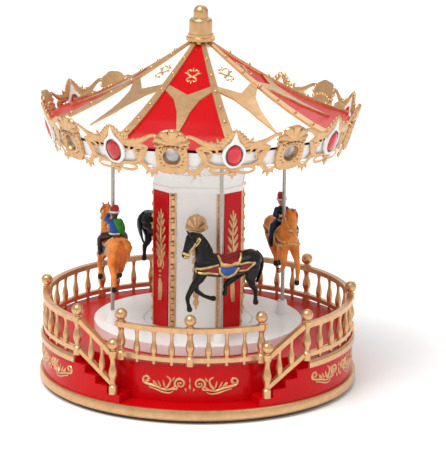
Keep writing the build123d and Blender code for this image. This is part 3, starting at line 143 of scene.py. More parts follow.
def finish(name, base, shade, grain, bump, sockets, spread=(0.35, 0.65)):
    """A material whose colour and surface vary with a noise of the grain's size in millimetres."""
    material = bpy.data.materials.new(name)
    material.use_nodes = True
    tree = material.node_tree
    tree.nodes.clear()
    place = add(tree, "ShaderNodeTexCoord").outputs["Object"]
    coarse = add(tree, "ShaderNodeTexNoise", {"Scale": 1 / (8 * grain * MM), "Detail": 3.0},
                 Vector=place)
    fine = add(tree, "ShaderNodeTexNoise", {"Scale": 1 / (grain * MM), "Detail": 2.0}, Vector=place)
    ramp = add(tree, "ShaderNodeValToRGB", None, Fac=coarse.outputs["Fac"])
    ramp.color_ramp.elements[0].position = spread[0]
    ramp.color_ramp.elements[1].position = spread[1]
    ramp.color_ramp.elements[0].color = (*shade, 1)
    ramp.color_ramp.elements[1].color = (*base, 1)
    relief = add(tree, "ShaderNodeBump", {"Strength": bump, "Distance": 0.2 * grain * MM},
                 Height=fine.outputs["Fac"])
    shader = add(tree, "ShaderNodeBsdfPrincipled", sockets, Base_Color=ramp.outputs["Color"],
                 Normal=relief.outputs["Normal"])
    add(tree, "ShaderNodeOutputMaterial", None, Surface=shader.outputs["BSDF"])
    return material


def darker(base, share):
    return tuple(channel * share for channel in base)


# Each finish: its material's name, its base (a colour of the panel or a code), its shade (a share of
# the base or a code), the grain in millimetres, the bump and the shader's sockets.
SURFACES = {
    # Satin metallic lacquer over moulded parts: soft broad highlights, a warm cast, faint mottling.
    "gold": ("gold_lacquer", "gold", 0.86, 0.5, 0.12,
             {"Metallic": 0.85, "Roughness": 0.3, "Specular IOR Level": 0.35}),
    # Brush-painted gold enamel: brighter and less even than the lacquer.
    "pale_gold": ("pale_gold_paint", "pale_gold", 0.62, 0.35, 0.35,
                  {"Metallic": 0.6, "Roughness": 0.35}),
    # Polished ABS: a deep colour under a mirror-like skin with a trace of orange peel.
    "red": ("red_abs", "red", 0.93, 1.6, 0.03,
            {"Roughness": 0.2, "IOR": 1.5, "Specular IOR Level": 0.16}),
    # Polished white ABS: bright, slightly warm, with reflections that show its flatness.
    "white": ("white_abs", "white", 0.97, 1.6, 0.03,
              {"Roughness": 0.16, "IOR": 1.5, "Specular IOR Level": 0.4}),
    # Spark-textured ABS: a dull grain that catches a thin edge of light.
    "black": ("black_abs", "black", 0.6, 0.25, 0.5, {"Roughness": 0.45, "IOR": 1.54}),
    # Clear dyed acrylic over foil: dark at the rim, with a faint painted glow (an emission in the
    # stone's own colour) standing in for the light that comes back through it.
    "ruby": ("ruby_acrylic", "ruby", 0.5, 1.6, 0.04,
             {"Roughness": 0.05, "IOR": 1.49, "Coat Weight": 0.6, "Coat Roughness": 0.02,
              "Emission Strength": 0.12}),
    # Moulded rubber feet: nearly no gloss, dusty.
    "rubber": ("rubber", "#1B1B1C", "#101010", 0.3, 0.6, {"Roughness": 0.8, "IOR": 1.52}),
    # Clear acrylic over silver foil: grey glass-like depth with small bright glints.
    "clear": ("clear_acrylic", "#C9C7C6", "#77706B", 1.1, 0.2,
              {"Roughness": 0.14, "IOR": 1.49, "Metallic": 0.75, "Coat Weight": 0.8,
               "Coat Roughness": 0.03}),
    # Oxidised plated setting: dull silver, darker in its pits.
    "dark_silver": ("dark_silver", "#8C8A88", "#4A4644", 0.4, 0.3,
                    {"Metallic": 0.9, "Roughness": 0.38}),
    # Drawn and plated steel wire: soft silver with faint lines along it.
    "wire": ("plated_wire", "#B3ADA4", "#A49E96", 0.3, 0.04, {"Metallic": 0.8, "Roughness": 0.32}),
    # Turned bright steel: clean, with fine machining marks.
    "steel": ("steel", "#B4B6B9", "#95979A", 0.2, 0.15, {"Metallic": 1.0, "Roughness": 0.28}),
    # Tempered spring strip: blue-grey oxide with straw patches.
    "blued_steel": ("blued_steel", "#3F4C66", "#6B5A46", 1.2, 0.1, {"Metallic": 1.0, "Roughness": 0.3}),
    # Machined brass plate and gears: yellow, brushed, a little tarnish.
    "brass": ("brass", "#D8B35A", "#A98434", 0.6, 0.12, {"Metallic": 1.0, "Roughness": 0.27}),
    # Natural nylon: waxy ivory, light sinks in a little.
    "nylon": ("nylon", "#E6E2D2", "#D5CFBA", 0.8, 0.1,
              {"Roughness": 0.5, "IOR": 1.53, "Subsurface Weight": 0.1,
               "Subsurface Radius": (1e-3,) * 3}),
}
ENAMELS = {
    "hoof": "#141210", "hat_red": "#C3121B", "trim_white": "#EDE9E0", "cape_green": "#2F8A26",
    "waist_blue": "#1F4F96", "trouser_brown": "#35201B", "boot_black": "#111011",
    "coat_dark": "#16181F", "navy": "#17284A", "skin": "#E3AE8C", "hair_brown": "#4B2C17",
    # The dark brown enamel is painted shade, laid in the gold ornaments' cuts and beside the column's
    # studs.
    "tail_brown": "#C8641E", "antique_brown": "#6E431F",
}


def surface(key):
    """One of the tabled finishes, in the panel's colours where it has one."""
    name, base, shade, grain, bump, sockets = SURFACES[key]
    base = linear(base) if base[0] == "#" else tuple(getattr(bpy.context.scene.carousel_colours, base))
    shade = linear(shade) if isinstance(shade, str) else darker(base, shade)
    # The ruby's emission is a painted glow: the stone shines in its own colour though it is no lamp.
    if "Emission Strength" in sockets:
        sockets = {**sockets, "Emission Color": (*base, 1)}
    return finish(name, base, shade, grain, bump, sockets)


def enamel(name, base, shade=0.62, rough=0.3):
    # Brush-applied enamel on cast resin: glossy, pooled darker in the hollows.
    return finish(name, base, darker(base, shade), 0.7, 0.25,
                  {"Roughness": rough, "IOR": 1.5, "Specular IOR Level": 0.35}, (0.3, 0.6))


FINISHES = {}


def material(key):
    """The named finish, made on first use."""
    if key not in FINISHES:
        if key in SURFACES:
            FINISHES[key] = surface(key)
        elif key in ENAMELS:
            FINISHES[key] = enamel(key + "_enamel", linear(ENAMELS[key]), 0.6, 0.35)
        else:
            coat = getattr(bpy.context.scene.carousel_colours, key)
            FINISHES[key] = enamel(key + "_enamel", tuple(coat))
    return FINISHES[key]


# ---- pieces -------------------------------------------------------------------------
SMOOTH_LIMIT = radians(50)     # edges sharper than this stay sharp on the pieces


def add_piece(name, mesh, finish_key, slot, body, *replaced):
    """Show a finished mesh as a piece that rides on a body."""
    piece = bpy.data.objects.new(name, mesh)
    bpy.context.scene.collection.objects.link(piece)
    mesh.materials.clear()
    mesh.materials.append(material(finish_key))
    mesh.shade_smooth()
    mesh.set_sharp_from_angle(angle=SMOOTH_LIMIT)
    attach(piece, body)
    if replaced:
        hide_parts(*replaced)
    return piece


def mesh_of(form, name):
    """A mesh of a bmesh with its faces turned outwards."""
    bmesh.ops.recalc_face_normals(form, faces=form.faces)
    mesh = bpy.data.meshes.new(name)
    form.to_mesh(mesh)
    form.free()
    return mesh


def evaluated_mesh(thing):
    """The mesh of an object with its modifiers or bevel applied, and the object removed."""
    bpy.context.scene.collection.objects.link(thing)
    graph = bpy.context.evaluated_depsgraph_get()
    mesh = bpy.data.meshes.new_from_object(thing.evaluated_get(graph))
    bpy.data.objects.remove(thing)
    return mesh


def along(values, share):
    """A value at a share of the way along a list, in straight steps."""
    step = share * (len(values) - 1)
    k = min(int(step), len(values) - 2)
    return values[k] + (values[k + 1] - values[k]) * (step - k)


def tube_mesh(lines, sides=1, steps=4):
    """Round lines, each given by its points, its widths along them, and whether it closes."""
    curve = bpy.data.curves.new("lines", "CURVE")
    curve.dimensions = "3D"
    curve.bevel_depth = 1.0
    curve.bevel_resolution = sides
    curve.resolution_u = steps
    curve.use_fill_caps = True
    for points, widths, closed in lines:
        spline = curve.splines.new("BEZIER")
        spline.bezier_points.add(len(points) - 1)
        spline.use_cyclic_u = closed
        for k, point in enumerate(points):
            knot = spline.bezier_points[k]
            knot.co = point
            knot.handle_left_type = knot.handle_right_type = "AUTO"
            knot.radius = along(widths, k / (len(points) - 1)) / 2
    return evaluated_mesh(bpy.data.objects.new("lines", curve))


def mirrored(points):
    return [(-u, v) for u, v in points]


def volute(centre, radius, start, turn, turns=1.35, shrink=0.72):
    """Points of a scroll that winds inwards: angles in degrees, turn is +1 or -1."""
    count = int(turns * 8) + 1
    points = []
    for k in range(count):
        share = k / (count - 1)
        reach = radius * (1 - shrink * share)
        angle = radians(start + turn * 360 * turns * share)
        points.append((centre[0] + reach * cos(angle), centre[1] + reach * sin(angle)))
    return points


def rounded(point):
    return tuple(round(c, 5) for c in point)


class Relief:
    """Raised ornament on a flat sheet: u to the right, v up, w outwards, in millimetres."""

    def __init__(self, rise=0.8):
        self.form = bmesh.new()
        self.lines = []
        self.rise = rise

    def line(self, points, *widths, closed=False, both=False, lift=0.0):
        """A rounded line, and its mirror image when both is set."""
        widths = widths if len(widths) > 1 else widths * 2
        for side in ([points, mirrored(points)] if both else [points]):
            self.lines.append(([(u, v, lift / self.rise) for u, v in side], widths, closed))

    def leaf(self, root, angle, size, width, rise=0.8, narrow=0.45, both=False):
        """A rounded leaf from its root, narrowing towards its tip."""
        spots = [(root[0], root[1], angle)] + ([(-root[0], root[1], 180 - angle)] if both else [])
        for u, v, turn in spots:
            made = bmesh.ops.create_uvsphere(self.form, u_segments=10, v_segments=6, radius=1)["verts"]
            for vert in made:
                x, y, z = vert.co
                slim = 1 - narrow * (z + 1) / 2
                vert.co = ((z + 1) * size / 2, y * width / 2 * slim, x * rise * slim)
            bmesh.ops.rotate(self.form, verts=made,
                             matrix=Matrix.Rotation(radians(turn), 3, "Z"))
            bmesh.ops.translate(self.form, verts=made, vec=(u, v, 0))

    def leaves(self, rows, width, rise, narrow, both=False):
        """Leaves of one width, each given by its root's u and v, its angle and its size."""
        for u, v, angle, size in rows:
            self.leaf((u, v), angle, size, width, rise, narrow, both)

    def bead(self, place, size, rise, both=False):
        """A round boss, and its mirror image when both is set."""
        for side in ((1, -1) if both else (1,)):
            self.leaf((side * place[0] - size / 2, place[1]), 0, size, size, rise, 0)

    def shell(self, centre, reach, flutes, spread, width, rise):
        """A scallop of leaves fanned about the upward direction, longest in the middle."""
        for k in range(flutes):
            angle = 90 + spread * (k / (flutes - 1) - 0.5)
            size = reach * (1 - 0.0022 * abs(angle - 90))
            self.leaf(centre, angle, size, width, rise, -0.35)

    def loops(self, rings):
        """A surface through loops of points with the same count."""
        last = None
        for ring in rings:
            verts = [self.form.verts.new(point) for point in ring]
            if last:
                for j in range(len(verts)):
                    after = (j + 1) % len(verts)
                    self.form.faces.new((last[j], last[after], verts[after], verts[j]))
            last = verts

    def closed_loops(self, rings):
        """A surface through loops of points whose two end loops are drawn together to a point."""
        self.loops(rings)
        for ring in (rings[0], rings[-1]):
            middle = sum((Vector(point) for point in ring), Vector()) / len(ring)
            ends = {rounded(point) for point in ring}
            verts = [v for v in self.form.verts if rounded(v.co) in ends]
            bmesh.ops.pointmerge(self.form, verts=verts, merge_co=middle)

    def sheet(self):
        """The finished flat mesh, with its lines flattened to the rise."""
        if self.lines:
            mesh = tube_mesh(self.lines)
            count = len(self.form.verts)
            self.form.from_mesh(mesh)
            self.form.verts.ensure_lookup_table()
            for vert in self.form.verts[count:]:
                vert.co.z *= self.rise
            bpy.data.meshes.remove(mesh)
        return mesh_of(self.form, "sheet")


def on_round(radius, z, lean=0.0):
    """Place a sheet's point on a round wall, upright or leaning out."""
    tilt = radians(lean)

    def place(u, v, w, turn):
        at = radius + v * sin(tilt)
        angle = radians(turn) + u / at
        out = at + w * cos(tilt)
        rise = v * cos(tilt) - w * sin(tilt)
        return (out * sin(angle), -out * cos(angle), z + rise)
    return place


def on_flat(distance, z):
    """Place a sheet's point on an upright flat face."""
    def place(u, v, w, turn):
        c, s = cos(radians(turn)), sin(radians(turn))
        out = distance + w
        return (u * c + out * s, u * s - out * c, z + v)
    return place


def bend(sheet, place, turns, name):
    """Copies of a flat sheet set on a wall at each of the turns, in one mesh in metres."""
    whole = bmesh.new()
    for turn in turns:
        count = len(whole.verts)
        whole.from_mesh(sheet)
        whole.verts.ensure_lookup_table()
        for vert in whole.verts[count:]:
            vert.co = Vector(place(*vert.co, turn)) * MM
    mesh = bpy.data.meshes.new(name)
    whole.to_mesh(mesh)
    whole.free()
    return mesh


FASCIA = on_round(JEWEL_RADIUS, JEWEL_Z, FASCIA_LEAN)


def add_bent(name, relief, place, turns, finish_key, slot, body, *replaced):
    """Show a relief as one piece, copied on to a wall at each of the turns."""
    add_piece(name, bend(relief.sheet(), place, turns, name), finish_key, slot, body, *replaced)


def add_to_fascia(name, relief, turns, finish_key, slot, *replaced):
    add_bent(name, relief, FASCIA, turns, finish_key, slot, "carousel", *replaced)


def ring_points(count, reach, w):
    """A loop of points whose distance from the centre is a function of the angle."""
    points = []
    for k in range(count):
        angle = 2 * pi * k / count
        size_u, size_v = reach(angle)
        points.append((size_u * cos(angle), size_v * sin(angle), w))
    return points


def lobe(angle, middle, spread):
    """A smooth bump in an outline, its height 1 at the middle angle; both in degrees."""
    gap = (degrees(angle) - middle + 180) % 360 - 180
    return exp(-(gap / spread) ** 2)


# ---- fascia -------------------------------------------------------------------------
def fascia_openwork(line):
    """One bay of the pierced ring, its middle under a medallion and a jewel at each end."""
    relief = Relief(0.36)
    jewel = -HALF_BAY_RUN
    bay = [
        # the top rail dips beside the jewel's leaf and sweeps up to the medallion's shoulder
        ([(4.6, 6.6), (9.5, 6.2), (13.6, 6.4), (17.4, 7.8), (21.2, 10.2), (24.6, 11.6), (27.8, 11.2)],
         (3.2, 4.2, 2.6, 2.0)),
        # the broad band under it runs level to the bracket's pointed corner
        ([(5.6, 4.6), (9.4, 4.4), (13.4, 4.6), (17.4, 4.6), (21.4, 3.6)], (2.0, 3.0, 3.6, 1.4)),
        # the hook that hangs beside the jewel
        ([(9.4, 4.6), (9.7, 2.2), (8.6, 0.8), (7.6, 1.6)], (1.7, 1.4, 0.9)),
        # the bracket bows towards the medallion and ends at the lower band
        ([(21.2, 3.5), (18.8, 1.4), (17.4, -1.2), (16.8, -3.6), (15.4, -5.6), (12.6, -6.9), (9.4, -7.4),
          (5.0, -7.8)], (1.4, 4.2, 3.6, 2.3, 1.9, 1.9)),
        ([(18.2, 3.0), (15.6, 3.0), (13.2, 1.8), (12.9, -0.1), (14.2, -0.9), (15.2, 0.1)],
         (2.6, 1.7, 1.3)),
        ([(16.7, -2.6), (14.6, -2.3), (13.4, -3.3), (14.1, -4.2)], (1.7, 1.2, 0.9)),
        # the strap down to the medallion's foot, with a thinner one inside it
        ([(15.6, -5.8), (18.4, -8.4), (21.2, -11.0), (23.4, -11.9), (25.6, -10.6), (27.2, -8.8)],
         (1.9, 2.2, 2.9, 2.1)),
        ([(17.4, -5.0), (19.6, -7.4), (22.0, -9.6), (24.6, -9.0)], (0.9, 1.0, 0.8)),
    ]
    for points, widths in bay:
        placed = [(jewel + u, v) for u, v in points]
        relief.line(placed, *[w * line for w in widths], both=True)
    # the long loop beside the jewel's foot
    oval = [(jewel + 8.6 + 5.4 * cos(a), -9.9 + 2.0 * sin(a))
            for a in (radians(45 * k) for k in range(8))]
    relief.line(oval, 1.9 * line, closed=True, both=True)
    # curls on the rail and lobes under the straps
    lobes = ((8.4, 7.6, 75, 3.4, 2.4), (11.2, 6.8, 45, 2.8, 2.0), (15.2, 7.4, 70, 2.2, 1.6),
             (21.0, -11.4, 240, 3.0, 2.2), (23.0, -12.0, 268, 3.6, 2.4), (25.0, -11.2, 300, 2.8, 2.0),
             (16.8, -6.4, 235, 2.6, 2.0))
    for u, v, angle, size, width in lobes:
        relief.leaf((jewel + u, v), angle, size, width, 0.85, both=True)
    return relief


def jewel_pendant(line):
    """The fleur that closes the loops under each jewel."""
    relief = Relief(0.55)
    relief.line([(-4.0, -9.0), (0, -10.0), (4.0, -9.0)], 1.7 * line, 2.2 * line, 1.7 * line)
    relief.leaves([(0, -10.6, 270, 5.0), (0, -10.6, 232, 3.8), (0, -10.6, 308, 3.8)], 2.3, 0.9, 0.3)
    return relief


def make_fascia(sizes):
    line = sizes.fascia_line / MM / FASCIA_LINE
    add_to_fascia("fascia_openwork", fascia_openwork(line), MEDALLION_TURNS, "gold", "gold",
                  "fascia_ring")
    add_to_fascia("fascia_pendants", jewel_pendant(line), JEWEL_TURNS, "gold", "gold")


# ---- medallions ---------------------------------------------------------------------
PLAQUE_MIDDLE = -2.6
HOLE_MIDDLE = -1.4
HOLE_RADIUS = 4.9
PLAQUE_FACE = 1.5           # the plaque's face in front of the fascia


def fan(relief, centre, wide, high, flutes, rise, back=-0.6):
    """A half-round scallop shell: flutes spread from its hinge to a gently lobed edge."""
    count = 12 * flutes

    def ridge(angle):
        return abs(cos(flutes * angle / 2)) if sin(angle) > -0.05 else 0.5

    rings = []
    profile = ((0.06, rise * 1.15), (0.3, rise * 1.1), (0.55, rise), (0.8, rise * 0.9),
               (0.94, rise * 0.75), (1.0, rise * 0.35), (1.0, back), (0.06, back))
    for share, level in profile:
        points = []
        for k in range(count):
            angle = 2 * pi * (k + 0.5) / count
            up = sin(angle)
            lobed = share * (0.955 + 0.045 * ridge(angle))
            v = lobed * high * up if up > 0 else 0.8 * share * up
            w = level + (0.7 * rise * share * (ridge(angle) - 0.6) if level > back else 0)
            points.append((centre[0] + lobed * wide * cos(angle), centre[1] + v, w))
        rings.append(points)
    relief.closed_loops(rings)


def plaque_outline(angle):
    """Half sizes of the plaque's square-shouldered outline, narrower at its foot."""
    c, s = abs(cos(angle)), abs(sin(angle))
    square = (c ** 4.5 + s ** 4.5) ** (-1 / 4.5)
    ripple = 0.18 * sin(20 * angle)
    return (9.3 - 0.9 * max(0, -sin(angle))) * square + ripple, 9.4 * square + ripple


def plaque():
    """The moulded plaque round the window, under its scallop crest."""
    relief = Relief(0.7)
    rings = []
    face = PLAQUE_FACE
    profile = ((0, -1.8), (0, face - 0.3), (0.05, face), (0.16, face), (0.24, face - 0.45),
               (0.4, face - 0.6), (0.55, face - 0.2), (0.72, face - 0.5), (0.86, face - 0.15),
               (0.95, face - 0.3), (1, face - 0.8), (1, -0.8), (0.1, -1.8))
    for blend, w in profile:
        points = []
        for k in range(80):
            angle = 2 * pi * k / 80
            wide, high = plaque_outline(angle)
            u = cos(angle) * (HOLE_RADIUS + (wide - HOLE_RADIUS) * blend)
            v = sin(angle) * (HOLE_RADIUS + (high - HOLE_RADIUS) * blend)
            wave = 0.16 * sin(20 * angle + 11 * blend) if 0.2 < blend < 0.9 else 0
            points.append((u, v + HOLE_MIDDLE + (PLAQUE_MIDDLE - HOLE_MIDDLE) * blend, w + wave))
        rings.append(points)
    relief.loops(rings + rings[:1])
    bmesh.ops.remove_doubles(relief.form, verts=relief.form.verts, dist=1e-4)
    # the scallop crest over a row of small lobes
    fan(relief, (0, 6.9), 10.0, 9.2, 9, 1.6)
    for k in range(7):
        u = (k - 3) * 2.5
        relief.leaf((u, 8.4 - 0.04 * u * u), 270, 2.6, 2.5, 1.9, 0.1)
    for u, v, angle in ((9.0, 10.0, 40), (9.2, 8.0, 5), (8.6, 5.8, -20)):
        relief.leaf((u - 1.0, v), angle, 2.8, 2.3, 1.3, 0.2, both=True)
    for k in range(6):
        u = (k - 2.5) * 2.6
        relief.leaf((u, -11.0 + 0.03 * u * u), 270, 1.7, 2.5, 1.0, 0.1)
    return relief


def plaque_painted_shade():
    """Painted shade in brown where shade falls in the plaque's cuts: under the crest, between its
    flutes and round the window.
    """
    shade = Relief(0.5)
    for k in range(6):
        u = (k - 2.5) * 2.7
        v = 5.8 - 0.03 * u * u
        shade.line([(u - 1.2, v + 0.55), (u, v - 0.1), (u + 1.2, v + 0.55)], 0.35, 0.7, 0.35,
                   lift=PLAQUE_FACE - 0.1)
    for k in range(8):
        angle = radians(22.5 * k + 11.25)
        shade.line([(3.0 * cos(angle), 8.8 + 2.0 * sin(angle)),
                    (9.0 * cos(angle), 6.9 + 8.2 * sin(angle))], 0.22, 0.42, lift=1.15)
    for side, start in ((1, -64), (-1, 116)):
        for k in range(7):
            angle = radians(start + 20 * k)
            turned = angle + 0.12 * side
            near, far = 6.1 + 0.5 * (k % 2), 7.5 + 0.5 * (k % 2)
            shade.line([(near * cos(angle), HOLE_MIDDLE + near * sin(angle)),
                        (far * cos(turned), HOLE_MIDDLE + far * sin(turned))],
                       0.3, 0.5, lift=PLAQUE_FACE - 0.35)
    return shade


def make_medallions():
    add_to_fascia("medallions", plaque(), MEDALLION_TURNS, "gold", "gold", "fascia_medallions")
    # the brown lines are painted shade in the plaque's cuts
    add_to_fascia("medallion_cuts", plaque_painted_shade(), MEDALLION_TURNS, "antique_brown", "gold")


def dome(wide, high, rise, facets, base):
    """A cabochon: a flat-backed oval stone whose crown rises from its girdle."""
    relief = Relief()
    steps = ((0.02, base), (1.0, base), (1.0, base + 0.25 * rise), (0.86, base + 0.62 * rise),
             (0.6, base + 0.88 * rise), (0.3, base + 0.98 * rise), (0.02, base + rise))
    girdle = ring_points(facets, lambda angle: (wide / 2, high / 2), 0)
    rings = [[(u * share, v * share, w) for u, v, _ in girdle] for share, w in steps]
    relief.closed_loops(rings)
    return relief


def make_lenses():
    across = 2 * HOLE_RADIUS - 0.2
    relief = dome(across, across, 0.7, 24, -1.2)
    bmesh.ops.translate(relief.form, verts=relief.form.verts, vec=(0, HOLE_MIDDLE, 0))
    add_to_fascia("lenses", relief, MEDALLION_TURNS, "clear", "clear_stone", "clear_lenses")


# ---- jewels -------------------------------------------------------------------------
STONE_WIDE, STONE_HIGH = 8.9, 12.4
SEAT_U, SEAT_V = 4.7, 6.5       # half sizes of the setting's inner edge
BEZEL_U, BEZEL_V = 6.9, 8.5     # and of its outer edge, which spikes upwards
BEZEL_SPIKE = 6.2


def make_jewels():
    stone = dome(STONE_WIDE, STONE_HIGH, 2.1, 28, 0.2)
    add_to_fascia("rubies", stone, JEWEL_TURNS, "ruby", "ruby", "ruby_jewels")
    rim = Relief(0.7)
    turns = [radians(30 * k) for k in range(12)]
    rim.line([(SEAT_U * cos(a), SEAT_V * sin(a)) for a in turns], 0.7, closed=True, lift=1.1)
    add_to_fascia("jewel_rims", rim, JEWEL_TURNS, "dark_silver", "steel")

    def between(share):
        def reach(angle):
            high = BEZEL_V + BEZEL_SPIKE * lobe(angle, 90, 14)
            return SEAT_U + (BEZEL_U - SEAT_U) * share, SEAT_V + (high - SEAT_V) * share
        return reach

    bezel = Relief()
    profile = ((0, -0.6), (0, 0.75), (0.2, 1.25), (0.5, 1.45), (0.8, 1.2), (1, 0.6), (1, -0.6),
               (0, -0.6))
    bezel.loops([ring_points(96, between(share), w) for share, w in profile])
    bmesh.ops.remove_doubles(bezel.form, verts=bezel.form.verts, dist=1e-4)
    add_to_fascia("jewel_bezels", bezel, JEWEL_TURNS, "white", "white_gloss", "jewel_frames")

    crest = Relief()
    for k in range(5):
        share = k / 4
        root = (4.8 - 3.9 * share, 5.2 + 6.0 * share)
        crest.leaf(root, 24 + 52 * share, 5.6 - 0.9 * share, 4.2 - 0.8 * share, 1.0, 0.05, both=True)
    crest.leaf((0, 8.0), 90, 8.6, 5.4, 0.7, 0.4)
    add_to_fascia("jewel_leaves", crest, JEWEL_TURNS, "gold", "gold")


# ---- drum and column ----------------------------------------------------------------
def drum_scroll(line):
    """The long symmetrical ornament of the drum: two stems, leaves and a volute at each end."""
    relief = Relief(0.75)
    outer = volute((25.6, 1.4), 2.7, -100, 1, 1.2)
    stem = [(8.6, -1.4), (11.6, -3.4), (15.4, -3.7), (19.2, -2.4), (22.6, -1.8)]
    relief.line(stem + outer, 0.7 * line, 1.1 * line, 1.0 * line, 0.8 * line, 0.6 * line, both=True)
    relief.line([(24.4, -2.9), (20.0, -4.0), (15.6, -5.4), (11.8, -5.6), (9.6, -4.4)],
                0.5 * line, 0.8 * line, 0.4 * line, both=True)
    inner = volute((5.6, 0.4), 3.5, -60, 1, 1.3)
    relief.line([(13.2, -3.7), (10.2, -3.2)] + inner,
                0.8 * line, 1.1 * line, 0.9 * line, 0.6 * line, both=True)
    relief.line([(14.0, -3.0), (11.9, -0.2), (11.4, 2.6), (13.6, 4.4)],
                1.2 * line, 1.0 * line, 0.5 * line, both=True)
    relief.leaves([(14.6, -2.9, 78, 5.2), (16.6, -2.8, 62, 5.0), (18.6, -2.2, 50, 4.4),
                   (20.6, -1.9, 70, 3.4), (10.4, 1.4, 120, 3.2), (2.6, -2.4, 255, 2.6)],
                  line, 0.75, 0.35, both=True)
    relief.leaf((0, -3.6), 90, 4.4, 1.7, 0.8, 0.4)
    relief.leaf((0, 0.6), 90, 3.6, 1.3, 0.8, 0.4)
    relief.bead((24.9, 1.5), 1.3, 0.9, both=True)
    relief.bead((5.4, 0.5), 1.6, 0.9, both=True)
    return relief


def make_drum_scrolls(sizes):
    sheet = drum_scroll(sizes.scroll_line / MM).sheet()
    whole = bmesh.new()
    for radius, turns in ((FRONT_WALL_RADIUS, [0]), (DRUM_RADIUS, DRUM_PANEL_TURNS)):
        whole.from_mesh(bend(sheet, on_round(radius, SCROLL_Z), turns, "drum_ornament"))
    add_piece("drum_ornaments", mesh_of(whole, "drum_ornaments"), "gold", "gold", "root",
              "drum_scrolls")


BORDER_MARGIN = 0.3
FIRST_STUD = 3.0            # the lowest stud's middle above the border's foot


def make_column_borders(sizes):
    """Two beads with a row of square studs between them, up each edge of the white faces."""
    relief = Relief(0.8)
    edge, inner = COLUMN_HALF_FACE - 0.6, COLUMN_HALF_FACE - 3.5
    low, high = BORDER_MARGIN, BORDER_TOP_Z - COLUMN_FOOT_Z - BORDER_MARGIN
    for u in (edge, inner):
        relief.line([(u, low), (u, (low + high) / 2), (u, high)], 1.0, both=True, lift=0.5)
    middle = (edge + inner) / 2
    stud, pitch = sizes.stud / MM, sizes.stud_pitch / MM
    levels = [low + FIRST_STUD + pitch * k for k in range(int((high - low) / pitch) + 1)]
    for side in (-1, 1):
        made = bmesh.ops.create_cube(relief.form, size=1)["verts"]
        bmesh.ops.scale(relief.form, verts=made, vec=(inner - edge, high - low, 0.4))
        bmesh.ops.translate(relief.form, verts=made, vec=(side * middle, (low + high) / 2, 0.1))
        for level in levels:
            block = bmesh.ops.create_cube(relief.form, size=1)["verts"]
            bmesh.ops.scale(relief.form, verts=block, vec=(stud, stud * 0.9, 3.0))
            bmesh.ops.translate(relief.form, verts=block, vec=(side * (middle + 0.6), level, 0.1))
            edges = list({e for v in block for e in v.link_edges})
            bmesh.ops.bevel(relief.form, geom=edges, offset=0.3, segments=2, profile=0.5,
                            affect="EDGES", material=-1)
    place = on_flat(COLUMN_APOTHEM, COLUMN_FOOT_Z)
    add_bent("column_trim", relief, place, WHITE_FACES, "gold", "gold", "root", "column_borders")
    # painted shade: brown dashes just above and below each stud, where the studs cast shade
    shade = Relief(0.5)
    for level in levels:
        for v in (-0.62, 0.62):
            at = level + v * stud
            shade.line([(middle - 0.8, at), (middle + 0.8, at)], 0.5, both=True, lift=0.45)
    add_bent("column_trim_cuts", shade, place, WHITE_FACES, "antique_brown", "gold", "root")


def white_face_drop():
    """A scallop over two small leaves and a long tapering drape, its origin at the scallop's hinge."""
    relief = Relief(0.8)
    fan(relief, (0, 0), 6.6, 8.8, 8, 1.2, -0.1)
    relief.line([(-6.4, 1.0), (-3.4, -1.4), (0, -2.0), (3.4, -1.4), (6.4, 1.0)], 1.0, 1.8, 1.0)
    drape = ((-3.4, 300, 5.2), (-7.6, 292, 4.8), (-12.2, 290, 4.8), (-17.2, 286, 4.8),
             (-22.4, 284, 4.6), (-27.6, 282, 4.6), (-32.8, 280, 4.4), (-38.0, 278, 4.2),
             (-43.0, 276, 4.0))
    for v, angle, size in drape:
        relief.leaf((0.5, v), angle, size, 2.6, 0.95, 0.3, both=True)
    relief.line([(0, -1.6), (0.5, -12), (-0.4, -24), (0.4, -36), (0, -49)], 1.6, 2.6, 2.0, 2.6, 1.2)
    for v in (-9.5, -20.0, -30.5, -41.0):
        relief.bead((0, v), 2.0, 1.3)
    return relief


def red_face_plume():
    """A feathered plume over a knot and a tassel, its origin at the knot."""
    relief = Relief(0.8)
    barbs = ((3.6, 60, 7.2, 2.6), (8.6, 56, 7.0, 2.6), (13.6, 58, 7.0, 2.5),
             (18.6, 60, 6.8, 2.4), (23.4, 64, 6.4, 2.3), (27.6, 70, 5.4, 2.0))
    for v, angle, size, width in barbs:
        relief.leaf((0.4, v), angle, size, width, 0.8, 0.3, both=True)
    relief.line([(0, 0), (0.7, 9), (-0.5, 19), (0.3, 29), (0, 34.5)], 2.0, 2.2, 1.8, 1.6, 0.9)
    relief.line([(2.4, 12), (1.2, 5.6), (2.6, 1.2), (1.4, -1.6)], 0.9, 1.0, 0.6, both=True)
    for v, size in ((0.2, 2.6), (-3.2, 2.2), (-6.0, 1.8)):
        relief.bead((0, v), size, 1.2)
    relief.leaf((0, -7.0), 270, 14.5, 3.6, 1.1, 0.25)
    for u in (-0.7, 0, 0.7):
        relief.line([(u * 0.6, -7.4), (u * 1.2, -14), (u * 1.3, -21)], 0.5, 0.7, 0.5, lift=0.8)
    return relief


DROP_Z = 98.5
PLUME_Z = 74.5
CAPITAL_SCROLL_Z = 132.5


def make_column_ornaments():
    whole = bmesh.new()
    drops = on_flat(COLUMN_APOTHEM, DROP_Z)
    plumes = on_flat(RED_FACE_DISTANCE, PLUME_Z)
    whole.from_mesh(bend(white_face_drop().sheet(), drops, WHITE_FACES, "drops"))
    whole.from_mesh(bend(red_face_plume().sheet(), plumes, RED_FACES, "plumes"))
    add_piece("column_drops", mesh_of(whole, "column_drops"), "gold", "gold", "root",
              "column_ornaments")


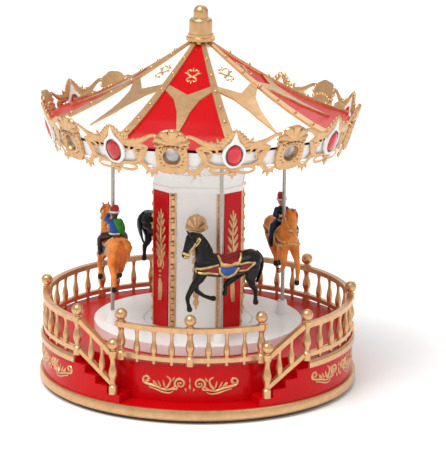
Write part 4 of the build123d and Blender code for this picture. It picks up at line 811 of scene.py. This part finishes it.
def make_capital_scrolls():
    """White scrolls moulded on the column's head."""
    relief = Relief(1.1)
    relief.line([(1.2, 0.4), (4.6, -2.6), (8.2, -2.2)] + volute((11.4, 0.6), 3.2, -110, 1, 1.2),
                1.5, 2.0, 1.6, 1.2, both=True)
    relief.line([(2.0, 3.4), (5.2, 5.6), (9.4, 6.4), (13.6, 5.4)], 0.7, 1.3, 0.6, both=True)
    relief.leaves([(4.6, -1.6, 70, 4.6), (6.8, -1.6, 55, 4.4), (2.0, -3.6, 290, 3.6)],
                  1.5, 0.7, 0.35, both=True)
    relief.shell((0, 2.4), 5.6, 5, 120, 1.7, 0.8)
    relief.bead((0, 0.6), 2.6, 1.0)
    place = on_flat(COLUMN_APOTHEM + 0.6, CAPITAL_SCROLL_Z)
    add_bent("capital_scrolls", relief, place, WHITE_FACES, "white", "white_gloss", "root")


# ---- roof ---------------------------------------------------------------------------
FILIGREE_RADIUS = 26.5
SLOPE_SHARE = 0.82          # how far a step up the roof moves towards the axis
ABOVE_ROOF = 0.3            # metres


def surface_tree(*meshes):
    """A search tree over the faces of meshes."""
    form = bmesh.new()
    for mesh in meshes:
        form.from_mesh(mesh)
    tree = BVHTree.FromBMesh(form)
    form.free()
    return tree


def make_roof_filigree():
    """A small spray of mirrored scrolls and leaves high on every bay, lying on the roof."""
    roof = surface_tree(*(NODES[name].data for name in ("roof_white_panels", "roof_red_panels")))
    relief = Relief(0.5)
    relief.line([(0.3, -0.8), (2.0, 0.6), (3.1, 2.6), (2.4, 4.5), (1.1, 4.3), (1.2, 3.0)],
                1.3, 1.5, 1.1, 0.8, both=True)
    relief.line([(0.3, -1.0), (2.1, -2.0), (2.7, -3.7), (1.6, -4.8), (0.9, -3.8)],
                1.2, 1.3, 0.9, 0.8, both=True)
    relief.leaf((2.6, 1.2), 20, 2.8, 1.3, 0.6, 0.3, both=True)
    relief.leaf((0, 3.2), 90, 3.6, 1.5, 0.6, 0.3)
    relief.leaf((0, -4.0), 270, 3.0, 1.3, 0.6, 0.3)
    relief.bead((0, -0.9), 0.9, 0.9)

    def lie(u, v, w, turn):
        x, y, _ = on_flat(FILIGREE_RADIUS - v * SLOPE_SHARE, 0)(u, 0, 0, turn)
        hit, normal, _, _ = roof.ray_cast(Vector((x * MM, y * MM, ABOVE_ROOF)), Vector((0, 0, -1)))
        normal = normal if normal.z > 0 else -normal
        return (hit + normal * w * MM) / MM

    add_bent("roof_filigree", relief, lie, MEDALLION_TURNS, "gold", "gold", "carousel")


# ---- horses -------------------------------------------------------------------------
def links(form, chain):
    """Balls joined by cones, each (x, y, z, radius): a limb, a neck or a body."""
    last = None
    for x, y, z, radius in chain:
        here = Vector((x, y, z))
        ball = bmesh.ops.create_icosphere(form, subdivisions=2, radius=radius)["verts"]
        bmesh.ops.translate(form, verts=ball, vec=here)
        if last:
            run = here - last[0]
            turn = run.to_track_quat("Z", "Y").to_matrix().to_4x4()
            middle = Matrix.Translation((here + last[0]) / 2)
            bmesh.ops.create_cone(form, cap_ends=True, segments=16, radius1=last[1], radius2=radius,
                                  depth=run.length, matrix=middle @ turn)
        last = (here, radius)


def sculpt(chains, voxel, rounds=5):
    """One smooth skin over chains of balls and cones."""
    form = bmesh.new()
    for chain in chains:
        links(form, chain)
    thing = bpy.data.objects.new("sculpt", mesh_of(form, "sculpt"))
    remesh = thing.modifiers.new("remesh", "REMESH")
    remesh.mode = "VOXEL"
    remesh.voxel_size = voxel
    smooth = thing.modifiers.new("smooth", "SMOOTH")
    smooth.factor = 0.5
    smooth.iterations = rounds
    return evaluated_mesh(thing)


def both_sides(chain):
    return [chain, [(x, -y, z, radius) for x, y, z, radius in chain]]


def horse_chains():
    """A galloping horse about its pole: x forward, z from the body's centre line."""
    chains = [
        [(-18.2, 1.5, 3.4, 6.1), (-10, 0, 0.7, 6.0), (-3, 0, -0.4, 6.0), (4, 0, 0.2, 6.2),
         (10.2, 0, 1.0, 5.9)],
        [(-18.2, -1.5, 3.4, 6.1), (-10, 0, 0.7, 6.0)],
        [(2.6, 0, 2.6, 4.8), (9.6, 0, 4.6, 5.6), (10.8, 0, 9.2, 4.7), (12.2, 0, 14.2, 3.7),
         (15.0, 0, 17.6, 3.0)],
        [(7.0, 0, 9.6, 2.4), (9.6, 0, 15.0, 2.0), (12.6, 0, 18.8, 1.8), (16.4, 0, 20.0, 1.5)],
        *both_sides([(17.2, 0.7, 17.2, 2.5), (18.2, 0.6, 14.2, 2.6), (20.0, 0.2, 10.6, 2.0),
                     (21.1, 0.35, 7.4, 1.7)]),
        [(19.0, 0, 18.4, 1.9), (21.4, 0, 9.6, 1.5), (22.0, 0, 7.6, 1.4)],
        [(11.5, 3.0, -1.5, 3.7), (13.4, 3.5, -5.6, 2.9), (17.2, 3.6, -9.8, 1.9),
         (20.0, 3.5, -15.2, 1.55), (20.5, 3.4, -16.6, 1.5), (20.2, 3.3, -20.0, 1.1),
         (19.6, 3.3, -21.8, 1.35)],
        [(11.5, -3.0, -2.0, 3.6), (12.8, -3.5, -7.0, 2.8), (14.4, -3.6, -12.2, 1.9),
         (13.2, -3.5, -15.0, 1.5), (8.8, -3.4, -18.2, 1.1), (5.6, -3.3, -19.4, 1.3)],
        [(-15.0, -3.0, -1.5, 4.4), (-9.4, -3.6, -7.2, 3.0), (-5.4, -3.7, -10.8, 2.0),
         (-3.8, -3.6, -12.8, 1.4), (-3.8, -3.5, -15.4, 1.25)],
        [(-18.4, 3.0, -0.5, 4.6), (-17.0, 3.6, -6.6, 3.3), (-18.2, 3.7, -11.6, 2.0),
         (-20.0, 3.6, -13.8, 1.6), (-20.3, 3.5, -18.0, 1.15), (-20.2, 3.5, -19.6, 1.35)],
    ]
    chains += both_sides([(18.0, 1.3, 19.4, 1.05), (19.2, 1.6, 21.0, 0.75), (20.2, 1.7, 22.0, 0.4)])
    chains += both_sides([(17.6, 2.3, 13.6, 1.3), (16.6, 1.8, 15.2, 1.5)])
    return chains


HOOVES = (
    ((19.6, 3.3, -22.2, 1.35), (19.2, 3.3, -23.9, 1.75)),
    ((5.0, -3.3, -19.6, 1.35), (3.2, -3.3, -19.9, 1.7)),
    ((-3.8, -3.5, -15.8, 1.3), (-3.4, -3.5, -17.4, 1.7)),
    ((-20.2, 3.5, -20.0, 1.35), (-20.4, 3.5, -21.7, 1.75)),
)


def at_ride(mesh, side, name):
    """A figure's mesh moved from its own millimetres to its pole, in metres."""
    quarter, shift = RIDES[side]
    placed = mesh.copy()
    placed.name = name
    seat = Matrix.Translation((0, -POLE_CIRCLE, HORSE_Z + shift)) @ Matrix.Rotation(pi, 4, "Z")
    around = Matrix.Rotation(radians(POLE_ANGLE + 90 * quarter), 4, "Z")
    placed.transform(Matrix.Scale(MM, 4) @ around @ seat)
    return placed


def on_flank(tree, x, z, side, lift):
    """The point of a figure's skin seen from the side, a little above it."""
    hit, normal, _, _ = tree.ray_cast(Vector((x, 30 * side, z)), Vector((0, -side, 0)))
    if hit is None:
        hit, normal, _, _ = tree.find_nearest(Vector((x, 2 * side, z)))
    return hit + normal * lift


def flank_line(tree, points, side, lift, *widths, steps=3):
    """A strap's line laid on a flank, with points added between the given ones."""
    laid = []
    for (x0, z0), (x1, z1) in zip(points, points[1:]):
        for k in range(steps):
            share = k / steps
            laid.append(on_flank(tree, x0 + (x1 - x0) * share, z0 + (z1 - z0) * share, side, lift))
    laid.append(on_flank(tree, *points[-1], side, lift))
    return (laid, widths if len(widths) > 1 else widths * 2, False)


def flank_patch(tree, outline, side, lift, voxel=0.5):
    """A thin flap of cloth or leather laid on a flank inside an outline of (x, z) points."""
    form = bmesh.new()
    verts = [form.verts.new((x, 0, z)) for x, z in outline]
    form.faces.new(verts)
    low_x, high_x = min(x for x, _ in outline), max(x for x, _ in outline)
    low_z, high_z = min(z for _, z in outline), max(z for _, z in outline)
    for low, high, normal in ((low_x, high_x, Vector((1, 0, 0))), (low_z, high_z, Vector((0, 0, 1)))):
        for k in range(1, int((high - low) / voxel)):
            bmesh.ops.bisect_plane(form, geom=form.verts[:] + form.edges[:] + form.faces[:],
                                   plane_co=normal * (low + k * voxel), plane_no=normal)
    bmesh.ops.triangulate(form, faces=form.faces)
    for vert in form.verts:
        vert.co = on_flank(tree, vert.co.x, vert.co.z, side, lift)
    bmesh.ops.recalc_face_normals(form, faces=form.faces)
    bmesh.ops.solidify(form, geom=form.faces[:], thickness=0.35)
    return mesh_of(form, "flap")


def joined(meshes, name):
    whole = bmesh.new()
    for mesh in meshes:
        whole.from_mesh(mesh)
    result = bpy.data.meshes.new(name)
    whole.to_mesh(result)
    whole.free()
    return result


# Each strap's (x, z) points on a flank, its height above the skin and its widths.
STRAPS = (
    ([(13.9, 18.4), (16.6, 14.6), (19.4, 10.0)], 0.1, 1.04, 1.17),
    ([(12.9, 17.4), (15.6, 13.6), (18.4, 9.2)], 0.1, 1.04, 1.17),
    ([(13.9, 18.4), (13.0, 17.4)], 0.1, 1.17),
    ([(22.6, 9.4), (20.8, 8.8), (18.9, 8.2)], 0.15, 1.56, 2.08),
    ([(22.2, 7.4), (20.6, 7.0), (19.2, 6.9)], 0.15, 1.3, 1.69),
    ([(2.6, 2.4), (8.6, 1.4), (15.2, 0.2)], 0.1, 1.3, 1.56),
    ([(2.8, -3.0), (8.8, -2.0), (14.6, -1.6)], 0.1, 1.3, 1.56),
    ([(2.4, 7.0), (1.4, 4.6), (0.8, 2.6)], 0.35, 1.43, 1.82),
    ([(-11.6, 7.6), (-10.6, 5.2), (-9.2, 2.6)], 0.35, 1.43, 1.82),
    ([(1.8, 2.4), (-3.6, 2.0), (-9.6, 3.0)], 0.25, 2.47, 2.6),
    ([(-10.0, 2.2), (-14.6, 3.4), (-18.8, 3.2)], 0.1, 1.3, 1.04),
    ([(-9.6, -1.6), (-14.0, -1.4), (-18.8, 3.2)], 0.1, 1.3, 1.04),
    ([(2.4, 1.2), (2.0, -1.6), (-0.6, -4.6), (-3.6, -5.4), (-7.0, -3.4), (-9.4, 0.6)],
     0.2, 1.4, 1.8, 1.4),
)


def bridle_and_straps(tree):
    """Painted gold straps of both flanks, and the one across the chest."""
    lines = [flank_line(tree, points, side, lift, *widths)
             for side in (-1, 1) for points, lift, *widths in STRAPS]
    lines.append(([(15.6, y, -0.4 - 0.06 * y * y) for y in (-4, -2, 0, 2, 4)], (1.0, 1.2, 1.0), False))
    return tube_mesh(lines, 1, 2)


BLANKET = [(1.8, 1.0), (1.5, -1.6), (-0.7, -4.0), (-3.6, -4.7), (-6.6, -2.9), (-8.8, 0.8),
           (-6.0, 1.3), (-2.6, 1.2)]
INSETS = ([(3.0, 1.6), (8.6, 0.8), (13.8, -0.4), (8.8, -1.4), (3.2, -2.2)],
          [(-10.6, 1.4), (-14.4, 2.5), (-17.4, 2.8), (-13.8, -0.5), (-10.2, -0.8)])


def seat_chains():
    """The seat with its raised front and back, and its two flaps."""
    ridge = [(2.2, 0, 6.4, 2.0), (0.2, 0, 5.2, 2.8), (-4.4, 0, 3.8, 3.5), (-8.6, 0, 5.2, 3.1),
             (-11.2, 0, 7.6, 2.0)]
    return [ridge] + both_sides([(0.4, 3.4, 3.8, 2.3), (-4.4, 4.2, 3.0, 2.6), (-8.8, 3.6, 4.2, 2.4)])


def mane_lines():
    """Locks of the mane over the crest on both sides, and the forelock."""
    roots = [(4.6, 7.8), (6.0, 10.4), (7.2, 12.8), (8.6, 15.2), (10.2, 17.4), (12.2, 19.2),
             (14.4, 20.4), (16.4, 20.8)]
    lines = []
    for k, (x, z) in enumerate(roots):
        for side in (-1, 1):
            sway = 0.5 * sin(2.1 * k)
            lock = [(x, side * 0.3, z - 0.1), (x + 0.5 + sway, side * 2.0, z - 1.2),
                    (x + 1.5 + sway, side * 3.0, z - 3.0),
                    (x + 1.2 + 1.4 * sway, side * 3.5, z - 5.2)]
            lines.append((lock, (1.9, 1.8, 1.4, 0.5), False))
    lines.append(([(17.4, 0, 20.9), (19.4, 0.4, 20.0), (20.4, 0.2, 17.6)], (1.6, 1.3, 0.5), False))
    return lines


def tail_lines():
    """A hanging tail of several locks."""
    lines = []
    for k in range(7):
        spread = (k - 3) * 0.42
        odd = k % 2
        points = [(-21.6, 0.3 * spread, 8.2), (-24.0, 0.8 * spread, 5.0),
                  (-24.4 - 0.2 * odd, 1.6 * spread, 0.4), (-23.4, 1.5 * spread, -5.0),
                  (-22.0 + 0.3 * (k % 3), 0.9 * spread, -10.4 - 0.6 * odd)]
        lines.append((points, (1.6, 2.0, 2.1, 1.7, 0.5), False))
    return lines


def make_horses(sizes):
    """Four horses from one sculpted form, each with hooves, mane, tail, eyes and tack."""
    body = sculpt(horse_chains(), sizes.horse_voxel / MM, 4)
    tree = surface_tree(body)
    hooves = sculpt([list(hoof) for hoof in HOOVES], sizes.horse_voxel / MM * 0.8, 2)
    hair = tube_mesh(mane_lines() + tail_lines(), 1, 4)
    eyes = sculpt(both_sides([(18.9, 2.75, 15.2, 0.55)]), 0.2, 1)
    straps = bridle_and_straps(tree)
    seat = sculpt(seat_chains(), sizes.horse_voxel / MM, 5)
    blankets = joined([flank_patch(tree, BLANKET, side, 0.25) for side in (-1, 1)], "blankets")
    insets = joined([flank_patch(tree, inset, side, 0.12, 0.8) for side in (-1, 1) for inset in INSETS],
                    "insets")
    for side in RIDES:
        rider = side in ("left", "right")
        coat, slot = ("bay_coat", "tan_horse") if rider else ("dark_coat", "black_horse")
        saddle = [] if rider else [side + "_saddle"]
        for part, mesh, finish_key, on_slot, replaced in (
                ("horse_body", body, coat, slot, [side + "_horse"]),
                ("horse_hooves", hooves, "hoof", slot, []),
                ("horse_hair", hair, "tail_brown" if rider else "dark_coat", slot, []),
                ("horse_eyes", eyes, "hoof", slot, []),
                ("straps", straps, "pale_gold", "gold", []),
                ("seat", seat, "saddle", "saddle_paint", saddle),
                ("blankets", blankets, "blanket", "saddle_paint", []),
                ("insets", insets, "saddle", "saddle_paint", [])):
            add_piece(side + "_" + part, at_ride(mesh, side, part), finish_key, on_slot,
                      "horse_" + side, *replaced)


# ---- riders -------------------------------------------------------------------------
def rider_parts(raised):
    """Chains of a small seated figure by what they are; raised lifts the outer hand up the pole."""
    legs = both_sides([(-5.8, 2.6, 8.0, 2.5), (-1.4, 6.2, 6.8, 2.1), (0.7, 7.4, 4.6, 1.9),
                       (0.0, 7.8, 1.2, 1.5), (-0.6, 7.8, -0.6, 1.35)])
    boots = both_sides([(-0.5, 7.8, -0.2, 1.6), (-0.9, 7.8, -3.4, 1.4), (1.3, 7.9, -4.6, 1.15)])
    arms = both_sides([(-5.2, 2.9, 16.0, 1.6), (-3.6, 4.5, 12.9, 1.4), (-1.2, 2.8, 12.5, 1.2)])
    hands = both_sides([(-0.7, 2.3, 12.5, 0.95), (0.3, 1.6, 12.9, 0.95)])
    if raised:
        arms[0] = [(-5.2, 2.9, 16.2, 1.6), (-3.0, 4.6, 17.0, 1.4), (-0.9, 2.6, 19.4, 1.2)]
        hands[0] = [(-0.5, 2.2, 19.9, 0.95), (0.3, 1.6, 20.6, 0.95)]
    return {
        "trousers": [[(-6.2, 0, 8.4, 3.3), (-5.4, 0, 7.4, 3.0)]] + legs,
        "boots": boots,
        "coat": [[(-6.2, 0, 9.8, 3.2), (-5.6, 0.4, 13.0, 3.0), (-5.3, 0, 15.9, 2.6)],
                 [(-5.4, -2.2, 15.6, 1.8), (-5.4, 2.2, 15.6, 1.8)]],
        "sleeves": arms,
        "hands": hands,
        "head": [[(-5.0, 0, 17.4, 1.1), (-4.9, 0, 19.0, 1.2)],
                 [(-4.7, 0, 20.9, 2.35), (-4.4, 0, 19.9, 1.9)],
                 [(-2.2, 0, 20.5, 0.42), (-2.1, 0, 20.2, 0.5)],
                 [(-4.5, -2.3, 20.5, 0.5), (-4.5, 2.3, 20.5, 0.5)]],
        "hair": [[(-5.3, 0, 21.4, 2.5), (-6.2, 0, 19.8, 1.7), (-6.3, 0, 18.4, 1.1)]],
        "hat": [[(-4.9, 0, 23.0, 2.85), (-5.8, -0.4, 24.3, 2.3), (-6.6, -0.8, 25.2, 1.4)]],
        "cape": [[(-6.4, -0.6, 16.6, 2.0), (-7.6, -2.2, 13.4, 2.3), (-7.9, -3.4, 9.8, 2.0)],
                 [(-5.4, -3.0, 16.0, 2.0), (-6.2, -4.2, 12.6, 2.0), (-6.6, -4.4, 9.8, 1.7)]],
    }


RIDER_COLOURS = {
    "left": {"trousers": "trouser_brown", "boots": "boot_black", "coat": "waist_blue",
             "sleeves": "waist_blue", "hands": "skin", "head": "skin", "hair": "hair_brown",
             "hat": "hat_red", "cape": "cape_green"},
    "right": {"trousers": "navy", "boots": "boot_black", "coat": "coat_dark", "sleeves": "navy",
              "hands": "skin", "head": "skin", "hair": "hair_brown", "hat": "hat_red"},
}


def loop_line(x, z, wide, deep, width):
    """A closed round band about an upright axis."""
    turns = [radians(30 * k) for k in range(12)]
    return ([(x + deep * cos(a), wide * sin(a), z) for a in turns], (width, width), True)


def make_riders(sizes):
    voxel = sizes.rider_voxel / MM
    for side, paints in RIDER_COLOURS.items():
        parts = rider_parts(side == "left")
        body = "horse_" + side
        for part, paint in paints.items():
            mesh = at_ride(sculpt(parts[part], voxel, 3), side, part)
            replaced = [side + "_rider"] if part == "coat" else []
            add_piece(side + "_rider_" + part, mesh, paint, "rider_paint", body, *replaced)
        trim = [loop_line(-4.8, 22.2, 2.8, 2.9, 1.3), loop_line(-6.2, 9.4, 3.5, 3.4, 1.2)]
        for y in (-1, 1):
            cuff = [(-1.7, 3.4 * y, 12.2), (-1.5, 2.6 * y, 13.4), (-1.5, 2.0 * y, 12.4),
                    (-1.6, 2.6 * y, 11.4)]
            seam = [(-2.4, 7.6 * y, 8.0), (0.6, 9.0 * y, 5.4), (0.6, 9.2 * y, 1.6)]
            trim += [(cuff, (0.9, 0.9), True), (seam, (0.5, 0.5), False)]
        lips = [(-2.62, -0.6, 19.35), (-2.42, 0, 19.2), (-2.62, 0.6, 19.35)]
        for part, mesh, paint in (
                ("trim", tube_mesh(trim, 1, 4), "trim_white"),
                ("eyes", sculpt(both_sides([(-2.55, 0.85, 21.2, 0.34)]), 0.12, 1), "hoof"),
                ("mouth", tube_mesh([(lips, (0.3, 0.34, 0.3), False)]), "hat_red")):
            add_piece(side + "_rider_" + part, at_ride(mesh, side, part), paint, "rider_paint", body)


# ---- finishes on the pieces that keep their shape ------------------------------------
SLOT_FINISHES = {
    "black_base": "black", "rubber_feet": "rubber", "gold": "gold", "red_gloss": "red",
    "white_gloss": "white", "steel": "steel", "brass": "brass", "spring_steel": "blued_steel",
    "nylon": "nylon", "ruby": "ruby", "clear_stone": "clear", "pole_metal": "wire",
    "black_horse": "dark_coat", "tan_horse": "bay_coat", "saddle_paint": "saddle",
    "rider_paint": "navy",
}
WELD_REACH = 1e-6                   # metres
CREASE = radians(32)           # edges sharper than this stay sharp on the CAD's pieces


def finish_kept_pieces():
    for part in frame["record"]["subparts"]:
        node = NODES[part["node"]]
        node.data.materials.clear()
        node.data.materials.append(material(SLOT_FINISHES[part["material_slot"]]))
        for polygon in node.data.polygons:
            polygon.use_smooth = True
        weld = node.modifiers.new("weld", "WELD")
        weld.merge_threshold = WELD_REACH
        split = node.modifiers.new("edges", "EDGE_SPLIT")
        split.split_angle = CREASE


# ---- stage --------------------------------------------------------------------------
CAMERA_LENS = 220.1
CAMERA_DISTANCE = 1705.0
CAMERA_RISE = 13.55         # degrees above level
CAMERA_SIDE = 3.11          # degrees round from the front
CAMERA_ROLL = 0.67
AIM_HEIGHT = 110.0
AIM_RIGHT = 14.4
AIM_UP = -20.7
SENSOR_WIDTH = 36
VIEW_END = 20.0             # metres
LIGHT_AIM = (0, 0, 0.1)     # metres
# Name, kind, place in metres, power, and an area's side in metres or a sun's angle in degrees.
LIGHTS = (
    ("overhead", "SUN", (-0.38, -0.48, 1.3), 1.55, 40),
    ("key", "AREA", (-0.38, -0.48, 1.3), 4.5, 0.5),
    ("fill", "AREA", (0.9, -0.7, 0.7), 1.2, 0.9),
    ("back", "AREA", (0.1, 0.9, 0.9), 2.5, 0.9),
)
WORLD_STRENGTH = 0.56
FLOOR_REACH = 6.0           # metres


def make_camera():
    rise, side, roll = (radians(a) for a in (CAMERA_RISE, CAMERA_SIDE, CAMERA_ROLL))
    pivot = Vector((0, 0, AIM_HEIGHT))
    away = Vector((cos(rise) * sin(side), -cos(rise) * cos(side), sin(rise)))
    place = pivot + CAMERA_DISTANCE * away
    view = (pivot - place).normalized()
    right = view.cross(Vector((0, 0, 1))).normalized()
    up = right.cross(view)
    forward = (pivot + AIM_RIGHT * right + AIM_UP * up - place).normalized()
    right = forward.cross(Vector((0, 0, 1))).normalized()
    up = right.cross(forward)
    rolled = cos(roll) * right + sin(roll) * up
    up = rolled.cross(forward)
    data = bpy.data.cameras.new("camera")
    data.lens = CAMERA_LENS
    data.sensor_width = SENSOR_WIDTH
    data.clip_end = VIEW_END
    camera = bpy.data.objects.new("camera", data)
    turned = Matrix((rolled, up, -forward)).transposed().to_4x4()
    camera.matrix_world = Matrix.Translation(place * MM) @ turned
    bpy.context.scene.collection.objects.link(camera)
    bpy.context.scene.camera = camera


def studio_light(name, kind, place, power, spread):
    """A light aimed at the object: an area's spread is its side in metres, a sun's its angle."""
    data = bpy.data.lights.new(name, kind)
    data.energy = power
    if kind == "AREA":
        data.shape = "SQUARE"
        data.size = spread
    else:
        data.angle = radians(spread)
    light = bpy.data.objects.new(name, data)
    turn = (Vector(LIGHT_AIM) - Vector(place)).to_track_quat("-Z", "Y").to_matrix().to_4x4()
    light.matrix_world = Matrix.Translation(place) @ turn
    bpy.context.scene.collection.objects.link(light)


def make_stage():
    form = bmesh.new()
    bmesh.ops.create_grid(form, x_segments=1, y_segments=1, size=FLOOR_REACH)
    floor = bpy.data.objects.new("floor", mesh_of(form, "floor"))
    bpy.context.scene.collection.objects.link(floor)
    # Matt backdrop paper: even and bright, with a grain far below what the view can show.
    paper = finish("white_paper", linear("#FFFFFF"), linear("#FDFDFD"), 4.0, 0.02, {"Roughness": 0.9})
    floor.data.materials.append(paper)
    for row in LIGHTS:
        studio_light(*row)
    world = bpy.data.worlds.new("studio")
    world.use_nodes = True
    background = world.node_tree.nodes["Background"].inputs
    background["Color"].default_value = (1, 1, 1, 1)
    background["Strength"].default_value = WORLD_STRENGTH
    bpy.context.scene.world = world
    bpy.context.scene.view_settings.view_transform = "Standard"


# ---- operators, panel and registration ----------------------------------------------
class CAROUSEL_OT_finishes(bpy.types.Operator):
    """Give every piece of the carousel that keeps its shape its real finish"""
    bl_idname = "carousel.finishes"
    bl_label = "Finishes"

    def execute(self, context):
        finish_kept_pieces()
        return {"FINISHED"}


class CAROUSEL_OT_fascia(bpy.types.Operator):
    """Build the pierced ring round the canopy and the pendants under it"""
    bl_idname = "carousel.fascia"
    bl_label = "Fascia"

    def execute(self, context):
        make_fascia(context.scene.carousel_sizes)
        return {"FINISHED"}


class CAROUSEL_OT_medallions(bpy.types.Operator):
    """Build the plaques with their scallop crests and the lenses in them"""
    bl_idname = "carousel.medallions"
    bl_label = "Medallions"

    def execute(self, context):
        make_medallions()
        make_lenses()
        return {"FINISHED"}


class CAROUSEL_OT_jewels(bpy.types.Operator):
    """Build the oval stones, their settings and the leaf crests over them"""
    bl_idname = "carousel.jewels"
    bl_label = "Jewels"

    def execute(self, context):
        make_jewels()
        return {"FINISHED"}


class CAROUSEL_OT_drum_ornaments(bpy.types.Operator):
    """Build the scroll ornaments round the drum"""
    bl_idname = "carousel.drum_ornaments"
    bl_label = "Drum ornaments"

    def execute(self, context):
        make_drum_scrolls(context.scene.carousel_sizes)
        return {"FINISHED"}


class CAROUSEL_OT_column(bpy.types.Operator):
    """Build the column's trims, drops, plumes and capital scrolls"""
    bl_idname = "carousel.column"
    bl_label = "Column ornaments"

    def execute(self, context):
        make_column_borders(context.scene.carousel_sizes)
        make_column_ornaments()
        make_capital_scrolls()
        return {"FINISHED"}


class CAROUSEL_OT_roof_filigree(bpy.types.Operator):
    """Build the small sprays of scrolls and leaves on the roof"""
    bl_idname = "carousel.roof_filigree"
    bl_label = "Roof filigree"

    def execute(self, context):
        make_roof_filigree()
        return {"FINISHED"}


class CAROUSEL_OT_horses(bpy.types.Operator):
    """Build the four horses with their tack"""
    bl_idname = "carousel.horses"
    bl_label = "Horses"

    def execute(self, context):
        make_horses(context.scene.carousel_sizes)
        return {"FINISHED"}


class CAROUSEL_OT_riders(bpy.types.Operator):
    """Build the two riders"""
    bl_idname = "carousel.riders"
    bl_label = "Riders"

    def execute(self, context):
        make_riders(context.scene.carousel_sizes)
        return {"FINISHED"}


class CAROUSEL_OT_stage(bpy.types.Operator):
    """Set the floor, the lights and the camera"""
    bl_idname = "carousel.stage"
    bl_label = "Stage"

    def execute(self, context):
        make_stage()
        make_camera()
        return {"FINISHED"}


STEPS = (CAROUSEL_OT_finishes, CAROUSEL_OT_fascia, CAROUSEL_OT_medallions, CAROUSEL_OT_jewels,
         CAROUSEL_OT_drum_ornaments, CAROUSEL_OT_column, CAROUSEL_OT_roof_filigree,
         CAROUSEL_OT_horses, CAROUSEL_OT_riders, CAROUSEL_OT_stage)


class CAROUSEL_PT_panel(bpy.types.Panel):
    """Sizes, colours and the steps that build the carousel"""
    bl_idname = "CAROUSEL_PT_panel"
    bl_label = "Carousel music box"
    bl_space_type = "VIEW_3D"
    bl_region_type = "UI"
    bl_category = "Carousel"

    def draw(self, context):
        for group in (context.scene.carousel_sizes, context.scene.carousel_colours):
            box = self.layout.box()
            for key in group.__annotations__:
                box.prop(group, key)
        for step in STEPS:
            self.layout.operator(step.bl_idname)


CLASSES = (CarouselSizes, CarouselColours, *STEPS, CAROUSEL_PT_panel)


def register():
    for each in CLASSES:
        bpy.utils.register_class(each)
    bpy.types.Scene.carousel_sizes = bpy.props.PointerProperty(type=CarouselSizes)
    bpy.types.Scene.carousel_colours = bpy.props.PointerProperty(type=CarouselColours)


def unregister():
    del bpy.types.Scene.carousel_colours
    del bpy.types.Scene.carousel_sizes
    for each in reversed(CLASSES):
        bpy.utils.unregister_class(each)


def main():
    register()
    for step in STEPS:
        getattr(bpy.ops.carousel, step.bl_idname.split(".")[1])()


if __name__ == "__main__":
    main()
